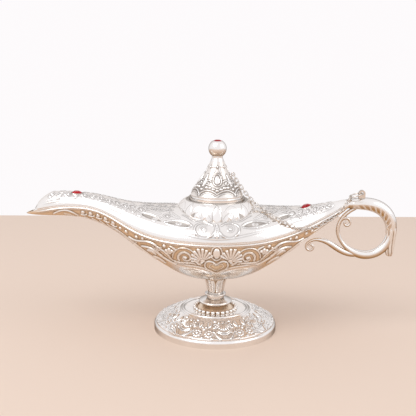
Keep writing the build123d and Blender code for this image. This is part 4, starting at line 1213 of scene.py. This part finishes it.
def make_stone(node, body):
    """A round stone: a flat table, a ring of crown facets and a girdle."""
    facets = 12
    back, girdle, crown, table = (0.0, 1.0, 0), (0.28, 1.0, 0), (0.72, 0.78, 1), (1.0, 0.5, 0)
    points = islands_of(node)[0]
    middle, long_way, _, up = axes_of(points)
    if up[2] < 0:
        up = -up
    cross_way = np.cross(up, long_way)
    rise = (points - middle) @ up
    radius = np.linalg.norm((points - middle) - rise[:, None] * up, axis=1).max()
    shape = bmesh.new()
    for level, share, half_step in (back, girdle, crown, table):
        height = rise.min() + (rise.max() - rise.min()) * level
        place = turned_to(middle + up * height, long_way, cross_way, up)
        turn = Matrix.Rotation(math.pi / facets * half_step, 4, "Z")
        bmesh.ops.create_circle(shape, segments=facets, radius=radius * share * MM, matrix=place @ turn)
    bmesh.ops.convex_hull(shape, input=shape.verts)
    bmesh.ops.recalc_face_normals(shape, faces=shape.faces)
    piece = finish_piece(shape, node + "_cut", red_glass, body, flat=True)
    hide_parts(node)


make_handle_ring()
make_lid_eye()
make_stone("spout_gem", "lamp")
make_stone("tail_gem", "lamp")
make_stone("finial_gem", "lid")

# Finishes of the nodes that stay.
for metal, node_names in ((polished, ("foot", "stem", "lower_bowl", "upper_cover", "lid", "finial")),
                          (handle_cast, ("handle",)),
                          (turned_steel, ("foot_washer", "foot_bolt", "finial_nut"))):
    for node_name in node_names:
        node_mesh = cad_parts[node_name].data
        node_mesh.materials.clear()
        node_mesh.materials.append(metal)


# Table, light and camera.
def make_table():
    """A plain pale table top whose far edge lies behind the lamp."""
    table_far, table_slant, table_near, table_half = 366.5, 0.0415, -900.0, 1400.0
    table_paint = (0.80, 0.655, 0.553, 1)
    shape = bmesh.new()
    bmesh.ops.create_grid(shape, x_segments=2, y_segments=2, size=1.0)
    for vert in shape.verts:
        across = vert.co.x * table_half
        far_edge = table_far + table_slant * across
        vert.co.x = across * MM
        vert.co.y = ((far_edge + table_near) / 2 + vert.co.y * (far_edge - table_near) / 2) * MM
    mesh = bpy.data.meshes.new("table_top")
    shape.to_mesh(mesh)
    shape.free()
    table = bpy.data.objects.new("table_top", mesh)
    bpy.context.scene.collection.objects.link(table)
    material, _, surface = new_material("table_paint")
    for socket, value in (("Base Color", table_paint), ("Roughness", 0.6), ("Specular IOR Level", 0.15)):
        surface.inputs[socket].default_value = value
    mesh.materials.append(material)


def make_light():
    """A white room and two large soft lamps."""
    room_white, room_light, room_seen = (0.985, 0.96, 0.97, 1), 0.78, 1.0
    aim = Vector((0, 0, 0.07))
    world = bpy.data.worlds.new("white_room")
    bpy.context.scene.world = world
    world.use_nodes = True
    tree = world.node_tree
    tree.nodes.clear()
    path = tree.nodes.new("ShaderNodeLightPath").outputs
    seen = add_node(tree, "ShaderNodeMath", {0: path["Is Glossy Ray"], 1: path["Is Camera Ray"]},
                    operation="MAXIMUM").outputs[0]
    back = add_node(tree, "ShaderNodeBackground",
                    {"Color": room_white, "Strength": spread(tree, seen, (room_light, room_seen))})
    out = tree.nodes.new("ShaderNodeOutputWorld")
    tree.links.new(back.outputs[0], out.inputs["Surface"])
    for name, spot, size, power in (("window_light", Vector((-0.55, -0.55, 0.95)), 0.7, 4.6),
                                    ("side_fill", Vector((0.8, -0.35, 0.6)), 0.6, 1.4)):
        lamp = bpy.data.lights.new(name, "AREA")
        lamp.size = size
        lamp.energy = power
        holder = bpy.data.objects.new(name, lamp)
        holder.location = spot
        holder.rotation_euler = (aim - spot).to_track_quat("-Z", "Y").to_euler()
        bpy.context.scene.collection.objects.link(holder)


def make_camera():
    """The photograph's standpoint: in front of the lamp and a little above its rim."""
    stand = Vector((-5.82, -466.9, 177.7)) * MM
    aim = Vector((-5.82, 0.0, 83.74)) * MM
    roll = math.radians(0.73)
    lens, sensor = 61.226, 36.0
    camera = bpy.data.cameras.new("photo_camera")
    camera.lens = lens
    camera.sensor_width = sensor
    holder = bpy.data.objects.new("photo_camera", camera)
    turn = (aim - stand).to_track_quat("-Z", "Y").to_matrix() @ Matrix.Rotation(roll, 3, "Z")
    holder.matrix_world = Matrix.Translation(stand) @ turn.to_4x4()
    bpy.context.scene.collection.objects.link(holder)
    bpy.context.scene.camera = holder


make_table()
make_light()
make_camera()
bpy.context.scene.view_settings.view_transform = "Standard"
